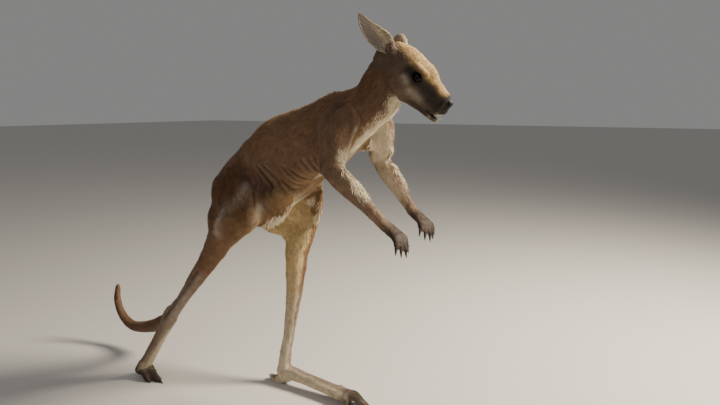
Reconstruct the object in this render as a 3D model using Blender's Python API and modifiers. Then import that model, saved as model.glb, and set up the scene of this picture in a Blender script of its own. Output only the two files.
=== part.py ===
"""Life-size still model of an adult male red kangaroo, reaching forward with both arms.

The animal faces +X, its left side is +Y, and the floor it stands on is Z = 0.
Its left foot is flat on the floor under the body, its right leg is stretched back
onto the toes, and the tail hangs clear of the floor with its tip curled up.

The flesh is built as overlapping lofted tubes and muscles, melted into one skin with
a voxel remesh, and then parted with thin cuts where the body parts meet.
"""

import math

import bmesh
import bpy
from mathutils import Matrix, Vector
from mathutils.bvhtree import BVHTree

# ---------------------------------------------------------------- driving dimensions, metres
FEMUR = 0.255
TIBIA = 0.600
METATARSUS = 0.284
HUMERUS = 0.150
FOREARM = 0.226
EAR_LENGTH = 0.140
EYE_RADIUS = 0.0160

HIP_HEIGHT = 0.800
HIP_HALF_SPAN = 0.088
SHOULDER = Vector((0.445, 0.0, 1.000))
SHOULDER_HALF_SPAN = 0.100

SEAM = 0.0004  # width of the cuts between body parts
FIT_GAP = 0.0004  # clearance round the claws, eyes and ears
VOXEL = 0.0045
BODY_TRIANGLES = 1750
DETAIL_TRIANGLES = 2350

SIDES = {"right": -1, "left": 1}

# ---------------------------------------------------------------- colours (linear RGB) and finish
COAT = ("coat", (0.262, 0.134, 0.070, 1.0), 0.85)
PALE_COAT = ("pale coat", (0.560, 0.440, 0.310, 1.0), 0.88)
CLAW = ("claw horn", (0.018, 0.014, 0.012, 1.0), 0.35)
NOSE = ("nose leather", (0.012, 0.010, 0.010, 1.0), 0.38)
EYE = ("eye", (0.010, 0.006, 0.004, 1.0), 0.06)


# ---------------------------------------------------------------- small tools
def clear_scene():
    for thing in list(bpy.data.objects):
        bpy.data.objects.remove(thing)


def principled(finish):
    name, colour, roughness = finish
    material = bpy.data.materials.get(name) or bpy.data.materials.new(name)
    material.use_nodes = True
    shader = material.node_tree.nodes["Principled BSDF"]
    shader.inputs["Base Color"].default_value = colour
    shader.inputs["Roughness"].default_value = roughness
    shader.inputs["Metallic"].default_value = 0.0
    return material


def aim(pitch, splay, side):
    """Unit vector: pitch degrees above straight forward, and splay degrees out to a side."""
    up, out = math.radians(pitch), math.radians(splay)
    return Vector((math.cos(up) * math.cos(out), side * math.sin(out), math.sin(up) * math.cos(out)))


def mirrored(point, side):
    return Vector((point[0], point[1] * side, point[2]))


def spline(values, steps):
    """Catmull-Rom curve through the values, with steps points to each span."""
    ends = [values[0], *values, values[-1]]
    curve = []
    for i in range(1, len(ends) - 2):
        before, a, b, after = ends[i - 1 : i + 3]
        for k in range(steps):
            t = k / steps
            curve.append(
                0.5
                * (
                    2 * a
                    + (b - before) * t
                    + (2 * before - 5 * a + 4 * b - after) * t * t
                    + (3 * a - 3 * b + after - before) * t * t * t
                )
            )
    curve.append(values[-1])
    return curve


def loft(shell, stations, across=(0, 1, 0), sides=20, steps=4, fullness=2.2):
    """Adds to shell a round-ended tube through stations of (centre, half width, half height).

    The width lies along the direction across; the height is square to it and the tube.
    """
    centres = spline([Vector(s[0]) for s in stations], steps)
    widths = spline([s[1] for s in stations], steps)
    heights = spline([s[2] for s in stations], steps)
    rings = []
    for i, centre in enumerate(centres):
        along = (centres[min(i + 1, len(centres) - 1)] - centres[max(i - 1, 0)]).normalized()
        side = Vector(across)
        side = (side - along * side.dot(along)).normalized()
        up = along.cross(side)
        shifts = [(0.0, 1.0)]
        if i == 0:
            shifts = [(-0.85, 0.45), (-0.5, 0.82), (0.0, 1.0)]
        if i == len(centres) - 1:
            shifts = [(0.0, 1.0), (0.5, 0.82), (0.85, 0.45)]
        for push, scale in shifts:
            middle = centre + along * push * min(widths[i], heights[i])
            ring = []
            for k in range(sides):
                angle = 2 * math.pi * k / sides
                c, s = math.cos(angle), math.sin(angle)
                wide = widths[i] * scale * math.copysign(abs(c) ** (2 / fullness), c)
                high = heights[i] * scale * math.copysign(abs(s) ** (2 / fullness), s)
                ring.append(shell.verts.new(middle + side * wide + up * high))
            rings.append(ring)
    for ring, following in zip(rings, rings[1:]):
        for k in range(sides):
            n = (k + 1) % sides
            shell.faces.new((ring[k], ring[n], following[n], following[k]))
    shell.faces.new(reversed(rings[0]))
    shell.faces.new(rings[-1])


def muscle(shell, start, end, thick, wide=None, across=(0, 1, 0), overhang=1.15):
    """Adds a spindle-shaped muscle belly from start to end, flattened across if wide is given."""
    start, end = Vector(start), Vector(end)
    along = (end - start).normalized()
    side = Vector(across)
    side = (side - along * side.dot(along)).normalized()
    up = along.cross(side)
    turn = Matrix((side, up, along)).transposed().to_4x4()
    size = Matrix.Diagonal((wide or thick, thick, (end - start).length * overhang / 2, 1))
    place = Matrix.Translation((start + end) / 2) @ turn @ size
    bmesh.ops.create_uvsphere(shell, u_segments=18, v_segments=12, radius=1.0, matrix=place)


def shell_object(name, shell, collection):
    bmesh.ops.recalc_face_normals(shell, faces=shell.faces)
    mesh = bpy.data.meshes.new(name)
    shell.to_mesh(mesh)
    shell.free()
    made = bpy.data.objects.new(name, mesh)
    collection.objects.link(made)
    return made


def settle(thing):
    """Replaces an object's mesh with its mesh as the modifiers leave it."""
    graph = bpy.context.evaluated_depsgraph_get()
    mesh = bpy.data.meshes.new_from_object(thing.evaluated_get(graph))
    thing.modifiers.clear()
    thing.data = mesh
    return thing


def remesh(thing, voxel, smoothing):
    melt = thing.modifiers.new("melt", "REMESH")
    melt.mode = "VOXEL"
    melt.voxel_size = voxel
    smooth = thing.modifiers.new("smooth", "SMOOTH")
    smooth.factor = 0.5
    smooth.iterations = smoothing
    return settle(thing)


def subtract(thing, cutter):
    cut = thing.modifiers.new("cut", "BOOLEAN")
    cut.operation = "DIFFERENCE"
    cut.solver = "EXACT"
    cut.object = cutter
    return settle(thing)


def inflated(thing, distance, collection):
    """A cutter that is the object grown by a distance along its normals."""
    shell = bmesh.new()
    shell.from_mesh(thing.data)
    shell.normal_update()
    shifts = [v.normal * distance for v in shell.verts]
    for vertex, shift in zip(shell.verts, shifts):
        vertex.co += shift
    made = shell_object(thing.name + "_grown", shell, collection)
    as_guide(made)
    return made


def as_guide(thing):
    thing.hide_render = True
    thing.display_type = "WIRE"


# ---------------------------------------------------------------- the skeleton that the flesh follows
HIP = {name: Vector((-0.052, side * HIP_HALF_SPAN, HIP_HEIGHT)) for name, side in SIDES.items()}

# (pitch, splay) in degrees of each bone, from the hip down and from the shoulder down
LEG_POSE = {
    "right": {"femur": (-28.4, 25), "tibia": (-135.3, -3.2), "metatarsus": (-124.5, 1.2), "toes": (-20, 5)},
    "left": {"femur": (-40.0, 17.2), "tibia": (-96.2, -8.5), "metatarsus": (-4.6, -3), "toes": (-2, 2)},
}
ARM_POSE = {
    "right": {"humerus": (-86, 24), "forearm": (-45, -11), "hand": (-36, -6)},
    "left": {"humerus": (-103, 24), "forearm": (-45, -14), "hand": (-34, -8)},
}
REACH = {"right": 0.0, "left": 0.022}


def leg_joints(name):
    side, pose = SIDES[name], LEG_POSE[name]
    hip = HIP[name]
    knee = hip + FEMUR * aim(*pose["femur"], side)
    hock = knee + TIBIA * aim(*pose["tibia"], side)
    ball = hock + METATARSUS * aim(*pose["metatarsus"], side)
    return hip, knee, hock, ball


def arm_joints(name):
    side, pose = SIDES[name], ARM_POSE[name]
    shoulder = SHOULDER + Vector((REACH[name], side * SHOULDER_HALF_SPAN, 0))
    elbow = shoulder + HUMERUS * aim(*pose["humerus"], side)
    wrist = elbow + FOREARM * aim(*pose["forearm"], side)
    return shoulder, elbow, wrist


# The head has its own frame: x from the poll to the nose tip, z towards the forehead.
POLL = Vector((0.578, 0.0, 1.240))
HEAD_TURN = 16.0
HEAD_PITCH = 45.0
HEAD = (
    Matrix.Translation(POLL)
    @ Matrix.Rotation(math.radians(HEAD_TURN), 4, "Z")
    @ Matrix.Rotation(math.radians(HEAD_PITCH), 4, "Y")
)


# ---------------------------------------------------------------- trunk, neck and tail
def add_trunk(shell):
    """Pear-shaped trunk: heavy hindquarters and a deep belly, narrow chest and shoulders."""
    stations = [
        # centre                    half width  half height
        ((-0.086, 0.0, 0.742), 0.072, 0.084),  # buttocks
        ((-0.033, 0.0, 0.770), 0.106, 0.120),  # pelvis
        ((0.052, 0.0, 0.812), 0.130, 0.149),  # loin
        ((0.150, 0.0, 0.862), 0.136, 0.149),  # belly
        ((0.237, 0.0, 0.903), 0.130, 0.138),  # last ribs
        ((0.317, 0.0, 0.947), 0.116, 0.115),  # chest
        ((0.400, 0.0, 1.000), 0.098, 0.095),  # shoulders
        ((0.470, 0.0, 1.036), 0.081, 0.075),  # root of the neck
        ((0.515, 0.002, 1.063), 0.066, 0.070),  # middle of the neck
        ((0.548, 0.006, 1.121), 0.060, 0.074),  # under the skull
        ((0.578, 0.012, 1.160), 0.052, 0.066),
    ]
    loft(shell, stations, sides=24)


TAIL = [
    # centre, half thickness: from the root at the pelvis to the curled tip
    ((-0.050, 0.0, 0.770), 0.090),
    ((-0.106, 0.0, 0.694), 0.074),
    ((-0.152, 0.0, 0.605), 0.0610),
    ((-0.215, 0.0, 0.491), 0.0465),
    ((-0.303, 0.0, 0.369), 0.0385),
    ((-0.387, 0.0, 0.264), 0.0350),
    ((-0.468, 0.0, 0.184), 0.0325),
    ((-0.555, 0.0, 0.134), 0.0300),
    ((-0.640, 0.0, 0.109), 0.0245),
    ((-0.715, 0.0, 0.104), 0.0185),
    ((-0.775, 0.0, 0.138), 0.0140),
    ((-0.802, 0.0, 0.198), 0.0110),
    ((-0.796, 0.0, 0.258), 0.0080),
]


def add_tail(shell):
    loft(shell, [(centre, r, r) for centre, r in TAIL], sides=16, fullness=2.0)


# ---------------------------------------------------------------- legs
HAMSTRING_REACH = {"right": 0.150, "left": 0.100}


def add_leg(shell, name):
    side, pose = SIDES[name], LEG_POSE[name]
    hip, knee, hock, _ = leg_joints(name)
    femur, tibia = aim(*pose["femur"], side), aim(*pose["tibia"], side)
    thigh = [
        (hip - femur * 0.004 + mirrored((0, -0.016, -0.022), side), 0.054, 0.058),
        (hip + femur * 0.072 + mirrored((0, -0.004, -0.016), side), 0.064, 0.084),
        (hip + femur * 0.156 + mirrored((0, 0, -0.008), side), 0.061, 0.084),
        (hip + femur * 0.222, 0.052, 0.066),
        (knee + femur * 0.002, 0.043, 0.049),
    ]
    loft(shell, thigh)
    # From the knee to just above the hock; the calf lies behind the shin bone.
    behind = tibia.cross(Vector((0, 1, 0))).normalized()
    if behind.x > 0:
        behind = -behind
    shank = [
        (knee - tibia * 0.012 + behind * 0.004, 0.044, 0.050),
        (knee + tibia * 0.065 + behind * 0.026, 0.045, 0.058),
        (knee + tibia * 0.140 + behind * 0.030, 0.040, 0.050),
        (knee + tibia * 0.250 + behind * 0.018, 0.031, 0.038),
        (knee + tibia * 0.370 + behind * 0.009, 0.0240, 0.0275),
        (knee + tibia * 0.470 + behind * 0.005, 0.0205, 0.0230),
        (knee + tibia * 0.535 + behind * 0.006, 0.0215, 0.0240),
        (hock + tibia * 0.004, 0.0235, 0.0270),
    ]
    loft(shell, shank, sides=16)
    # The hamstrings fill the angle between buttock, thigh and calf.
    seat = Vector((-0.046, side * 0.098, 0.738))
    tuck = knee + tibia * HAMSTRING_REACH[name] + behind * 0.036
    muscle(shell, seat, tuck, 0.056, 0.044, overhang=1.12)
    if name == "left":
        # With the shank upright the hamstrings hang as a full fold behind the knee.
        muscle(shell, Vector((-0.080, 0.112, 0.626)), Vector((0.098, 0.152, 0.600)), 0.052, 0.042)
    muscle(shell, hip + Vector((0.055, side * 0.030, 0.050)), knee, 0.058, 0.040)
    # A fold of loose skin runs from the flank to the front of the knee.
    flank = Vector((0.130, side * 0.104, 0.812))
    muscle(shell, flank, knee + Vector((0.012, 0, 0.012)), 0.048, 0.032, overhang=1.05)


def digit(shell, points, radii):
    loft(shell, [(p, r, r * 0.9) for p, r in zip(points, radii)], sides=12, steps=3, fullness=2.0)


# length along the toe, sideways place at the ball, radius at root and tip, claw length and radius
TOES = {
    "fourth": {"reach": 0.094, "out": 0.002, "radii": (0.0185, 0.0135), "claw": (0.040, 0.0085)},
    "fifth": {"reach": 0.060, "out": 0.0265, "radii": (0.0130, 0.0095), "claw": (0.024, 0.0060)},
    "third": {"reach": 0.034, "out": -0.0185, "radii": (0.0085, 0.0062), "claw": (0.013, 0.0034)},
    "second": {"reach": 0.029, "out": -0.0285, "radii": (0.0080, 0.0058), "claw": (0.012, 0.0032)},
}
TOE_ARCH = {"right": 0.012, "left": 0.004}
SOLE_SINK = {"right": 0.0048, "left": 0.0030}  # how far the pads are pressed flat


def toe_points(name, toe):
    """Root, knuckle, bend and fleshy tip of a toe, and the way its claw points."""
    side, pose = SIDES[name], LEG_POSE[name]
    _, _, hock, ball = leg_joints(name)
    sizes = TOES[toe]
    shaft = (ball - hock).normalized()
    out = aim(0, 90 + pose["metatarsus"][1], side)
    out = (out - shaft * out.dot(shaft)).normalized()
    knuckle = ball + out * sizes["out"]
    knuckle.z = max(knuckle.z, sizes["radii"][0] * 0.9 - 0.0030)
    forward = aim(pose["toes"][0], 0, side)
    level = Vector((1.0, side * math.tan(math.radians(pose["toes"][1])), 0.0)).normalized()
    floor = sizes["radii"][1] * 0.86 - SOLE_SINK[name]
    bend = knuckle + forward * sizes["reach"] * 0.55 + Vector((0, 0, TOE_ARCH[name] * 0.4))
    tip = bend + level * sizes["reach"] * 0.40
    bend.z = max(bend.z, floor)
    tip.z = floor
    root = knuckle - shaft * min(0.045, sizes["reach"])
    point = (level + Vector((0, 0, -0.22))).normalized()
    return [root, knuckle, bend, tip], point


HEEL_DROP = {"right": 0.014, "left": 0.050}


def add_foot(shell, name):
    side, pose = SIDES[name], LEG_POSE[name]
    _, _, hock, ball = leg_joints(name)
    shaft = aim(*pose["metatarsus"], side)
    sole = Vector((0, side, 0)).cross(shaft) * side
    sole = sole if sole.z < 0 or name == "right" else -sole
    stations = [
        (hock - shaft * 0.006, 0.0250, 0.0285),
        (hock + shaft * 0.060, 0.0225, 0.0240),
        (hock + shaft * 0.150, 0.0245, 0.0205),
        (ball, 0.0315, 0.0190),
        (ball + shaft * 0.006, 0.0290, 0.0170),
    ]
    loft(shell, stations, sides=16)
    # The heel bone stands out behind the joint and carries the Achilles tendon.
    heel = hock - shaft * 0.040 + sole * HEEL_DROP[name]
    muscle(shell, heel, hock + shaft * 0.045 + sole * 0.010, 0.0215, 0.0200, overhang=1.25)
    for toe in TOES:
        points, _ = toe_points(name, toe)
        root, tip = TOES[toe]["radii"]
        digit(shell, points, (root, root, (root + tip) / 2, tip))


# ---------------------------------------------------------------- arms
def add_arm(shell, name):
    side = SIDES[name]
    shoulder, elbow, wrist = arm_joints(name)
    upper, fore = (elbow - shoulder).normalized(), (wrist - elbow).normalized()
    blade = SHOULDER + Vector((-0.070 + REACH[name], side * 0.060, 0.026))
    muscle(shell, blade, shoulder + upper * 0.055, 0.062, 0.036)
    loft(
        shell,
        [
            (shoulder - upper * 0.036 + mirrored((-0.004, -0.026, 0), side), 0.040, 0.056),
            (shoulder + upper * 0.035, 0.042, 0.058),
            (shoulder + upper * 0.095, 0.036, 0.048),
            (elbow - upper * 0.010, 0.030, 0.037),
            (elbow + upper * 0.010, 0.026, 0.031),
        ],
        sides=16,
    )
    loft(
        shell,
        [
            (elbow - fore * 0.022, 0.025, 0.029),
            (elbow + fore * 0.035, 0.0300, 0.0340),
            (elbow + fore * 0.095, 0.0270, 0.0300),
            (elbow + fore * 0.165, 0.0205, 0.0220),
            (wrist, 0.0190, 0.0175),
            (wrist + fore * 0.012, 0.0200, 0.0165),
        ],
        sides=16,
    )
    # Breast muscle from the breastbone to the upper arm.
    keel = Vector((0.420, side * 0.024, 0.945))
    muscle(shell, keel, shoulder + upper * 0.060, 0.046, 0.034)


FINGERS = 5
FINGER_SPREAD = 13.0  # degrees between neighbouring fingers
FINGER_LENGTHS = (0.036, 0.047, 0.052, 0.047, 0.038)  # thumb side first
PALM_LENGTH = 0.050
FINGER_CURL = (8.0, 34.0)  # downward bend of the first and last joint, degrees
FINGER_RADII = (0.0098, 0.0092, 0.0085, 0.0072)
FINGER_CLAW = (0.030, 0.0048)
CLAW_SIDES = 6
CLAW_LIFT = 0.0004  # no claw reaches below the pads
CLAW_TAPER = (1.0, 0.92, 0.62, 0.16)  # radius from root to tip, as a share


def finger_points(name, index):
    """Root, knuckle, joint and fleshy tip of a finger, and the way its claw points."""
    side, pose = SIDES[name], ARM_POSE[name]
    _, _, wrist = arm_joints(name)
    pitch, splay = pose["hand"]
    fan = (index - (FINGERS - 1) / 2) * FINGER_SPREAD
    palm = aim(pitch, splay, side)
    out = aim(0, 90, side)
    out = (out - palm * out.dot(palm)).normalized()
    knuckle = wrist + palm * PALM_LENGTH * (1.0 - 0.0022 * abs(fan)) + out * 0.0105 * (index - 2)
    length = FINGER_LENGTHS[index]
    first = aim(pitch - FINGER_CURL[0], splay + fan, side)
    last = aim(pitch - FINGER_CURL[1], splay + fan, side)
    joint = knuckle + first * length * 0.55
    tip = joint + last * length * 0.45
    root = wrist + palm * 0.010 + out * 0.006 * (index - 2)
    claw = aim(pitch - FINGER_CURL[1] - 12, splay + fan, side)
    return [root, knuckle, joint, tip], claw


def add_hand(shell, name):
    side, pose = SIDES[name], ARM_POSE[name]
    _, _, wrist = arm_joints(name)
    palm = aim(*pose["hand"], side)
    loft(
        shell,
        [
            (wrist - palm * 0.010, 0.0185, 0.0165),
            (wrist + palm * 0.020, 0.0250, 0.0150),
            (wrist + palm * PALM_LENGTH * 0.95, 0.0285, 0.0125),
        ],
        sides=16,
    )
    for index in range(FINGERS):
        points, _ = finger_points(name, index)
        digit(shell, points, FINGER_RADII)


# ---------------------------------------------------------------- head
def in_head(x, y, z):
    return HEAD @ Vector((x, y, z))


ACROSS_HEAD = HEAD.to_3x3() @ Vector((0, 1, 0))


def add_head(shell):
    """Skull, cheeks and muzzle: (place along the head, top, bottom, half width)."""
    outline = [
        (0.022, -0.008, -0.106, 0.040),  # occiput
        (0.042, 0.017, -0.112, 0.050),  # between the ears
        (0.074, 0.030, -0.115, 0.056),  # forehead
        (0.112, 0.030, -0.116, 0.056),  # brows and cheekbones
        (0.146, 0.027, -0.109, 0.0470),  # before the eyes
        (0.174, 0.015, -0.100, 0.0375),  # bridge of the nose
        (0.202, 0.009, -0.093, 0.0320),  # middle of the muzzle
        (0.232, 0.005, -0.089, 0.0300),  # whisker pads
        (0.249, 0.000, -0.085, 0.0270),
        (0.256, -0.004, -0.080, 0.0225),  # nose and lips
    ]
    stations = [
        (in_head(x, 0, (top + bottom) / 2), half, (top - bottom) / 2)
        for x, top, bottom, half in outline
    ]
    loft(shell, stations, across=ACROSS_HEAD, fullness=2.3)
    for side in SIDES.values():
        muscle(
            shell, in_head(0.055, side * 0.034, -0.052), in_head(0.128, side * 0.032, -0.092),
            0.036, 0.024, across=ACROSS_HEAD,
        )
        muscle(
            shell, in_head(0.104, side * 0.045, -0.002), in_head(0.152, side * 0.035, -0.003),
            0.011, 0.014, across=ACROSS_HEAD,
        )
        muscle(
            shell, in_head(0.094, side * 0.049, -0.042), in_head(0.162, side * 0.034, -0.050),
            0.012, 0.013, across=ACROSS_HEAD,
        )
        muscle(
            shell, in_head(0.012, side * 0.034, -0.012), in_head(0.052, side * 0.036, -0.042),
            0.022, 0.018, across=ACROSS_HEAD,
        )


EYE_PLACE = (0.134, 0.0415, -0.0205)
NOSE_PLACE = (0.249, 0.0, -0.0145)
NOSE_HALF = (0.0150, 0.0185, 0.0150)


def mouth_cutter(collection):
    """Parts the jaw: open at the lips, then a thin seam from the corner of the mouth back."""
    throat, corner, lips, gape = (0.045, -0.1060), (0.188, -0.0755), (0.290, -0.0570), 0.0085
    profile = [
        (throat[0], throat[1] + SEAM / 2),
        (corner[0], corner[1] + SEAM / 2),
        (lips[0], lips[1] + gape),
        (lips[0], lips[1] - gape),
        (corner[0], corner[1] - SEAM / 2),
        (throat[0], throat[1] - SEAM / 2),
    ]
    shell = bmesh.new()
    walls = [[shell.verts.new(in_head(x, y, z)) for x, z in profile] for y in (-0.090, 0.090)]
    for i in range(len(profile)):
        k = (i + 1) % len(profile)
        shell.faces.new((walls[0][i], walls[0][k], walls[1][k], walls[1][i]))
    shell.faces.new(walls[0])
    shell.faces.new(reversed(walls[1]))
    made = shell_object("mouth_cut", shell, collection)
    as_guide(made)
    return made


# Ear pose in the head's frame: base, direction of the tip, and the way the opening faces.
EARS = {
    "right": {"base": (0.024, -0.037, -0.024), "tip": (-0.955, -0.270, 0.080), "face": (0.10, -0.90, 0.22)},
    "left": {"base": (0.020, 0.036, -0.014), "tip": (-0.450, 0.885, 0.085), "face": (0.75, 0.30, 0.45)},
}
EAR_HALF_WIDTH = 0.0275
EAR_WALL = 0.0036


def make_ear(name, collection):
    """A cupped leaf: a grid bent round the ear's own axis, with a wall of skin and fur."""
    pose = EARS[name]
    turn = HEAD.to_3x3()
    along = (turn @ Vector(pose["tip"])).normalized()
    face = turn @ Vector(pose["face"])
    face = (face - along * face.dot(along)).normalized()
    side = along.cross(face)
    base = in_head(*pose["base"])
    shell = bmesh.new()
    bmesh.ops.create_grid(shell, x_segments=7, y_segments=5, size=1.0)
    for vertex in shell.verts:
        u = (vertex.co.x + 1) / 2
        v = vertex.co.y
        half = EAR_HALF_WIDTH * (0.62 + 1.55 * u - 1.05 * u * u) * (1 - u**3.2) ** 0.62 + 0.0015
        depth = half * (0.95 - 0.55 * u)
        wrap = math.radians(118 - 52 * u) * v
        back = -depth * math.cos(wrap) + depth * 0.35 - 0.012 * math.sin(math.pi * u)
        rise = u * EAR_LENGTH - 0.012 * (1 - u) * v * v
        vertex.co = base + along * rise + side * half * math.sin(wrap) + face * back
    ear = shell_object("ear_" + name, shell, collection)
    wall = ear.modifiers.new("wall", "SOLIDIFY")
    wall.thickness = EAR_WALL
    wall.offset = 0.0
    settle(ear)
    shell = bmesh.new()
    shell.from_mesh(ear.data)
    bmesh.ops.recalc_face_normals(shell, faces=shell.faces)
    shell.to_mesh(ear.data)
    shell.free()
    return ear


# ---------------------------------------------------------------- claws and eyes
def make_claw(name, base, point, sizes, collection, droop):
    """A curved, tapering claw from inside the fleshy tip, bending downwards."""
    length, radius = sizes
    heading, place = point.copy(), base - point * radius * 0.9
    shell = bmesh.new()
    rings = []
    for share in CLAW_TAPER:
        side = heading.cross(Vector((0, 0, 1))).normalized()
        up = side.cross(heading)
        ring = []
        for k in range(CLAW_SIDES):
            angle = 2 * math.pi * k / CLAW_SIDES
            out = side * math.cos(angle) + up * math.sin(angle) * 1.15
            corner = place + out * radius * share
            corner.z = max(corner.z, CLAW_LIFT)
            ring.append(shell.verts.new(corner))
        rings.append(ring)
        heading = (heading + Vector((0, 0, -droop / len(CLAW_TAPER)))).normalized()
        place = place + heading * length / (len(CLAW_TAPER) - 1)
    for ring, following in zip(rings, rings[1:]):
        for k in range(CLAW_SIDES):
            n = (k + 1) % CLAW_SIDES
            shell.faces.new((ring[k], ring[n], following[n], following[k]))
    shell.faces.new(reversed(rings[0]))
    shell.faces.new(rings[-1])
    return shell_object(name, shell, collection)


def make_eye(name, side, collection):
    shell = bmesh.new()
    place = Matrix.Translation(in_head(EYE_PLACE[0], side * EYE_PLACE[1], EYE_PLACE[2]))
    bmesh.ops.create_uvsphere(shell, u_segments=12, v_segments=8, radius=EYE_RADIUS, matrix=place)
    return shell_object("eye_" + name, shell, collection)


def make_nose(collection):
    """The bare nose leather: a rounded pad set in the front of the muzzle."""
    shell = bmesh.new()
    place = HEAD @ Matrix.Translation(NOSE_PLACE) @ Matrix.Diagonal((*NOSE_HALF, 1))
    bmesh.ops.create_uvsphere(shell, u_segments=12, v_segments=8, radius=1.0, matrix=place)
    return shell_object("nose", shell, collection)


# ---------------------------------------------------------------- parting the flesh
def disc(name, centre, normal, long_way, halves, collection):
    """A thin oval cutter that parts the flesh at a joint; halves are its two half widths."""
    normal = Vector(normal).normalized()
    long_way = Vector(long_way)
    long_way = (long_way - normal * long_way.dot(normal)).normalized()
    turn = Matrix((long_way, normal.cross(long_way), normal)).transposed().to_4x4()
    size = Matrix.Diagonal((halves[0], halves[1], SEAM, 1))
    shell = bmesh.new()
    bmesh.ops.create_cone(
        shell, cap_ends=True, segments=24, radius1=1, radius2=1, depth=1,
        matrix=Matrix.Translation(centre) @ turn @ size,
    )
    made = shell_object("cut_" + name, shell, collection)
    as_guide(made)
    return made


def body_cuts():
    """Where the parts meet: (part, next part, centre, normal, long way, half widths).

    The limbs and the tail come off first, with ovals that just cross them; the
    cuts after that each pass through one limb or the bare trunk only.
    """
    up, ahead = Vector((0, 0, 1)), Vector((1, 0, 0))
    wide = (0.300, 0.300)
    cuts = [("hips", "tail_root", (-0.172, 0, 0.568), (-0.38, 0, -0.92), ahead, (0.080, 0.078))]
    for name, side in SIDES.items():
        shoulder, elbow, _ = arm_joints(name)
        upper, out = (elbow - shoulder).normalized(), Vector((0, side, 0))
        cuts += [
            (
                "hips", "thigh_" + name, (0.026, side * 0.148, 0.716),
                (0.10, side * 0.72, -0.69), ahead, (0.225, 0.160),
            ),
            (
                "chest", "upper_arm_" + name, shoulder + upper * 0.067,
                upper + out * 0.80, ahead, (0.076, 0.072),
            ),
        ]
    cuts += [
        ("neck", "head", (0.5555, 0.008, 1.128), (0.85, 0.06, 0.52), up, wide),
        ("chest", "neck", (0.506, 0.0, 1.060), (0.72, 0, 0.69), up, wide),
        ("belly", "chest", (0.300, 0.0, 0.938), (0.90, 0, 0.43), up, wide),
        ("hips", "belly", (0.152, 0.0, 0.872), (0.92, 0, 0.385), up, wide),
        ("tail_root", "tail_middle", (-0.372, 0.0, 0.270), (-0.70, 0, -0.70), up, (0.10, 0.10)),
        ("tail_middle", "tail_tip", (-0.640, 0.0, 0.109), (-1.0, 0, -0.15), up, (0.08, 0.08)),
    ]
    for name, side in SIDES.items():
        _, knee, hock, _ = leg_joints(name)
        shoulder, elbow, wrist = arm_joints(name)
        tibia, upper = (hock - knee).normalized(), (elbow - shoulder).normalized()
        fore, out = (wrist - elbow).normalized(), Vector((0, side, 0))
        femur = aim(*LEG_POSE[name]["femur"], side)
        shaft = aim(*LEG_POSE[name]["metatarsus"], side)
        heel = (0.090, 0.090)
        cuts += [
            ("thigh_" + name, "shank_" + name, knee + tibia * 0.056, tibia + femur, ahead, wide),
            ("shank_" + name, "foot_" + name, hock + shaft * 0.012, shaft * 0.6 + tibia * 0.8, out, heel),
            ("upper_arm_" + name, "forearm_" + name, elbow, upper + fore, out, heel),
            ("forearm_" + name, "hand_" + name, wrist, fore, out, heel),
        ]
    return cuts


def part_places():
    """A point inside each body part, to name the pieces after the cuts."""
    places = {
        "head": in_head(0.080, 0, -0.030),
        "jaw": in_head(0.200, 0, -0.085),
        "neck": Vector((0.512, 0.0, 1.066)),
        "chest": Vector((0.380, 0.0, 0.985)),
        "belly": Vector((0.230, 0.0, 0.900)),
        "hips": Vector((0.020, 0.0, 0.800)),
        "tail_root": Vector(TAIL[3][0]),
        "tail_middle": Vector(TAIL[6][0]),
        "tail_tip": Vector(TAIL[9][0]),
    }
    for name in SIDES:
        _, knee, hock, ball = leg_joints(name)
        shoulder, elbow, wrist = arm_joints(name)
        side = SIDES[name]
        palm = aim(*ARM_POSE[name]["hand"], side)
        places |= {
            "thigh_" + name: knee + Vector((-0.004, 0, 0.040)),
            "shank_" + name: knee.lerp(hock, 0.5),
            "foot_" + name: hock.lerp(ball, 0.6),
            "upper_arm_" + name: shoulder.lerp(elbow, 0.72) + mirrored((0, 0.006, 0), side),
            "forearm_" + name: elbow.lerp(wrist, 0.5),
            "hand_" + name: wrist + palm * 0.035,
        }
    return places


def inside_count(tree, point):
    """How many times a ray from the point meets the surface: odd when it starts inside."""
    way = Vector((0.3713, 0.5571, 0.7428)).normalized()
    count, start = 0, point.copy()
    while True:
        hit, _, _, distance = tree.ray_cast(start, way)
        if hit is None:
            return count
        count += 1
        start = hit + way * 1e-5


def islands(shell):
    """The sets of vertices that hang together."""
    left = set(shell.verts)
    groups = []
    while left:
        seed = left.pop()
        group, edge = {seed}, [seed]
        while edge:
            vertex = edge.pop()
            for link in vertex.link_edges:
                other = link.other_vert(vertex)
                if other in left:
                    left.remove(other)
                    group.add(other)
                    edge.append(other)
        groups.append(group)
    return groups


def keep_largest(thing):
    """Drops the crumbs that a cut leaves inside the cutter's hollow places."""
    shell = bmesh.new()
    shell.from_mesh(thing.data)
    groups = islands(shell)
    spans = [max((v.co - w.co).length for v in group for w in group) for group in groups]
    crumbs = [v for group, span in zip(groups, spans) if span < max(spans) for v in group]
    bmesh.ops.delete(shell, geom=crumbs, context="VERTS")
    shell.to_mesh(thing.data)
    shell.free()


def loose_pieces(thing, collection):
    """Replaces an object by one object for each of its loose pieces."""
    whole = bmesh.new()
    whole.from_mesh(thing.data)
    made = []
    for group in islands(whole):
        if len(group) < 30:
            continue
        piece = bmesh.new()
        copies = {v: piece.verts.new(v.co) for v in whole.verts if v in group}
        for face in whole.faces:
            if face.verts[0] in group:
                piece.faces.new([copies[v] for v in face.verts])
        made.append(shell_object("flesh", piece, collection))
    whole.free()
    bpy.data.objects.remove(thing)
    return made


def holds(thing, place):
    return inside_count(BVHTree.FromPolygons(
        [v.co for v in thing.data.vertices], [p.vertices for p in thing.data.polygons]
    ), place) % 2 == 1


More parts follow.
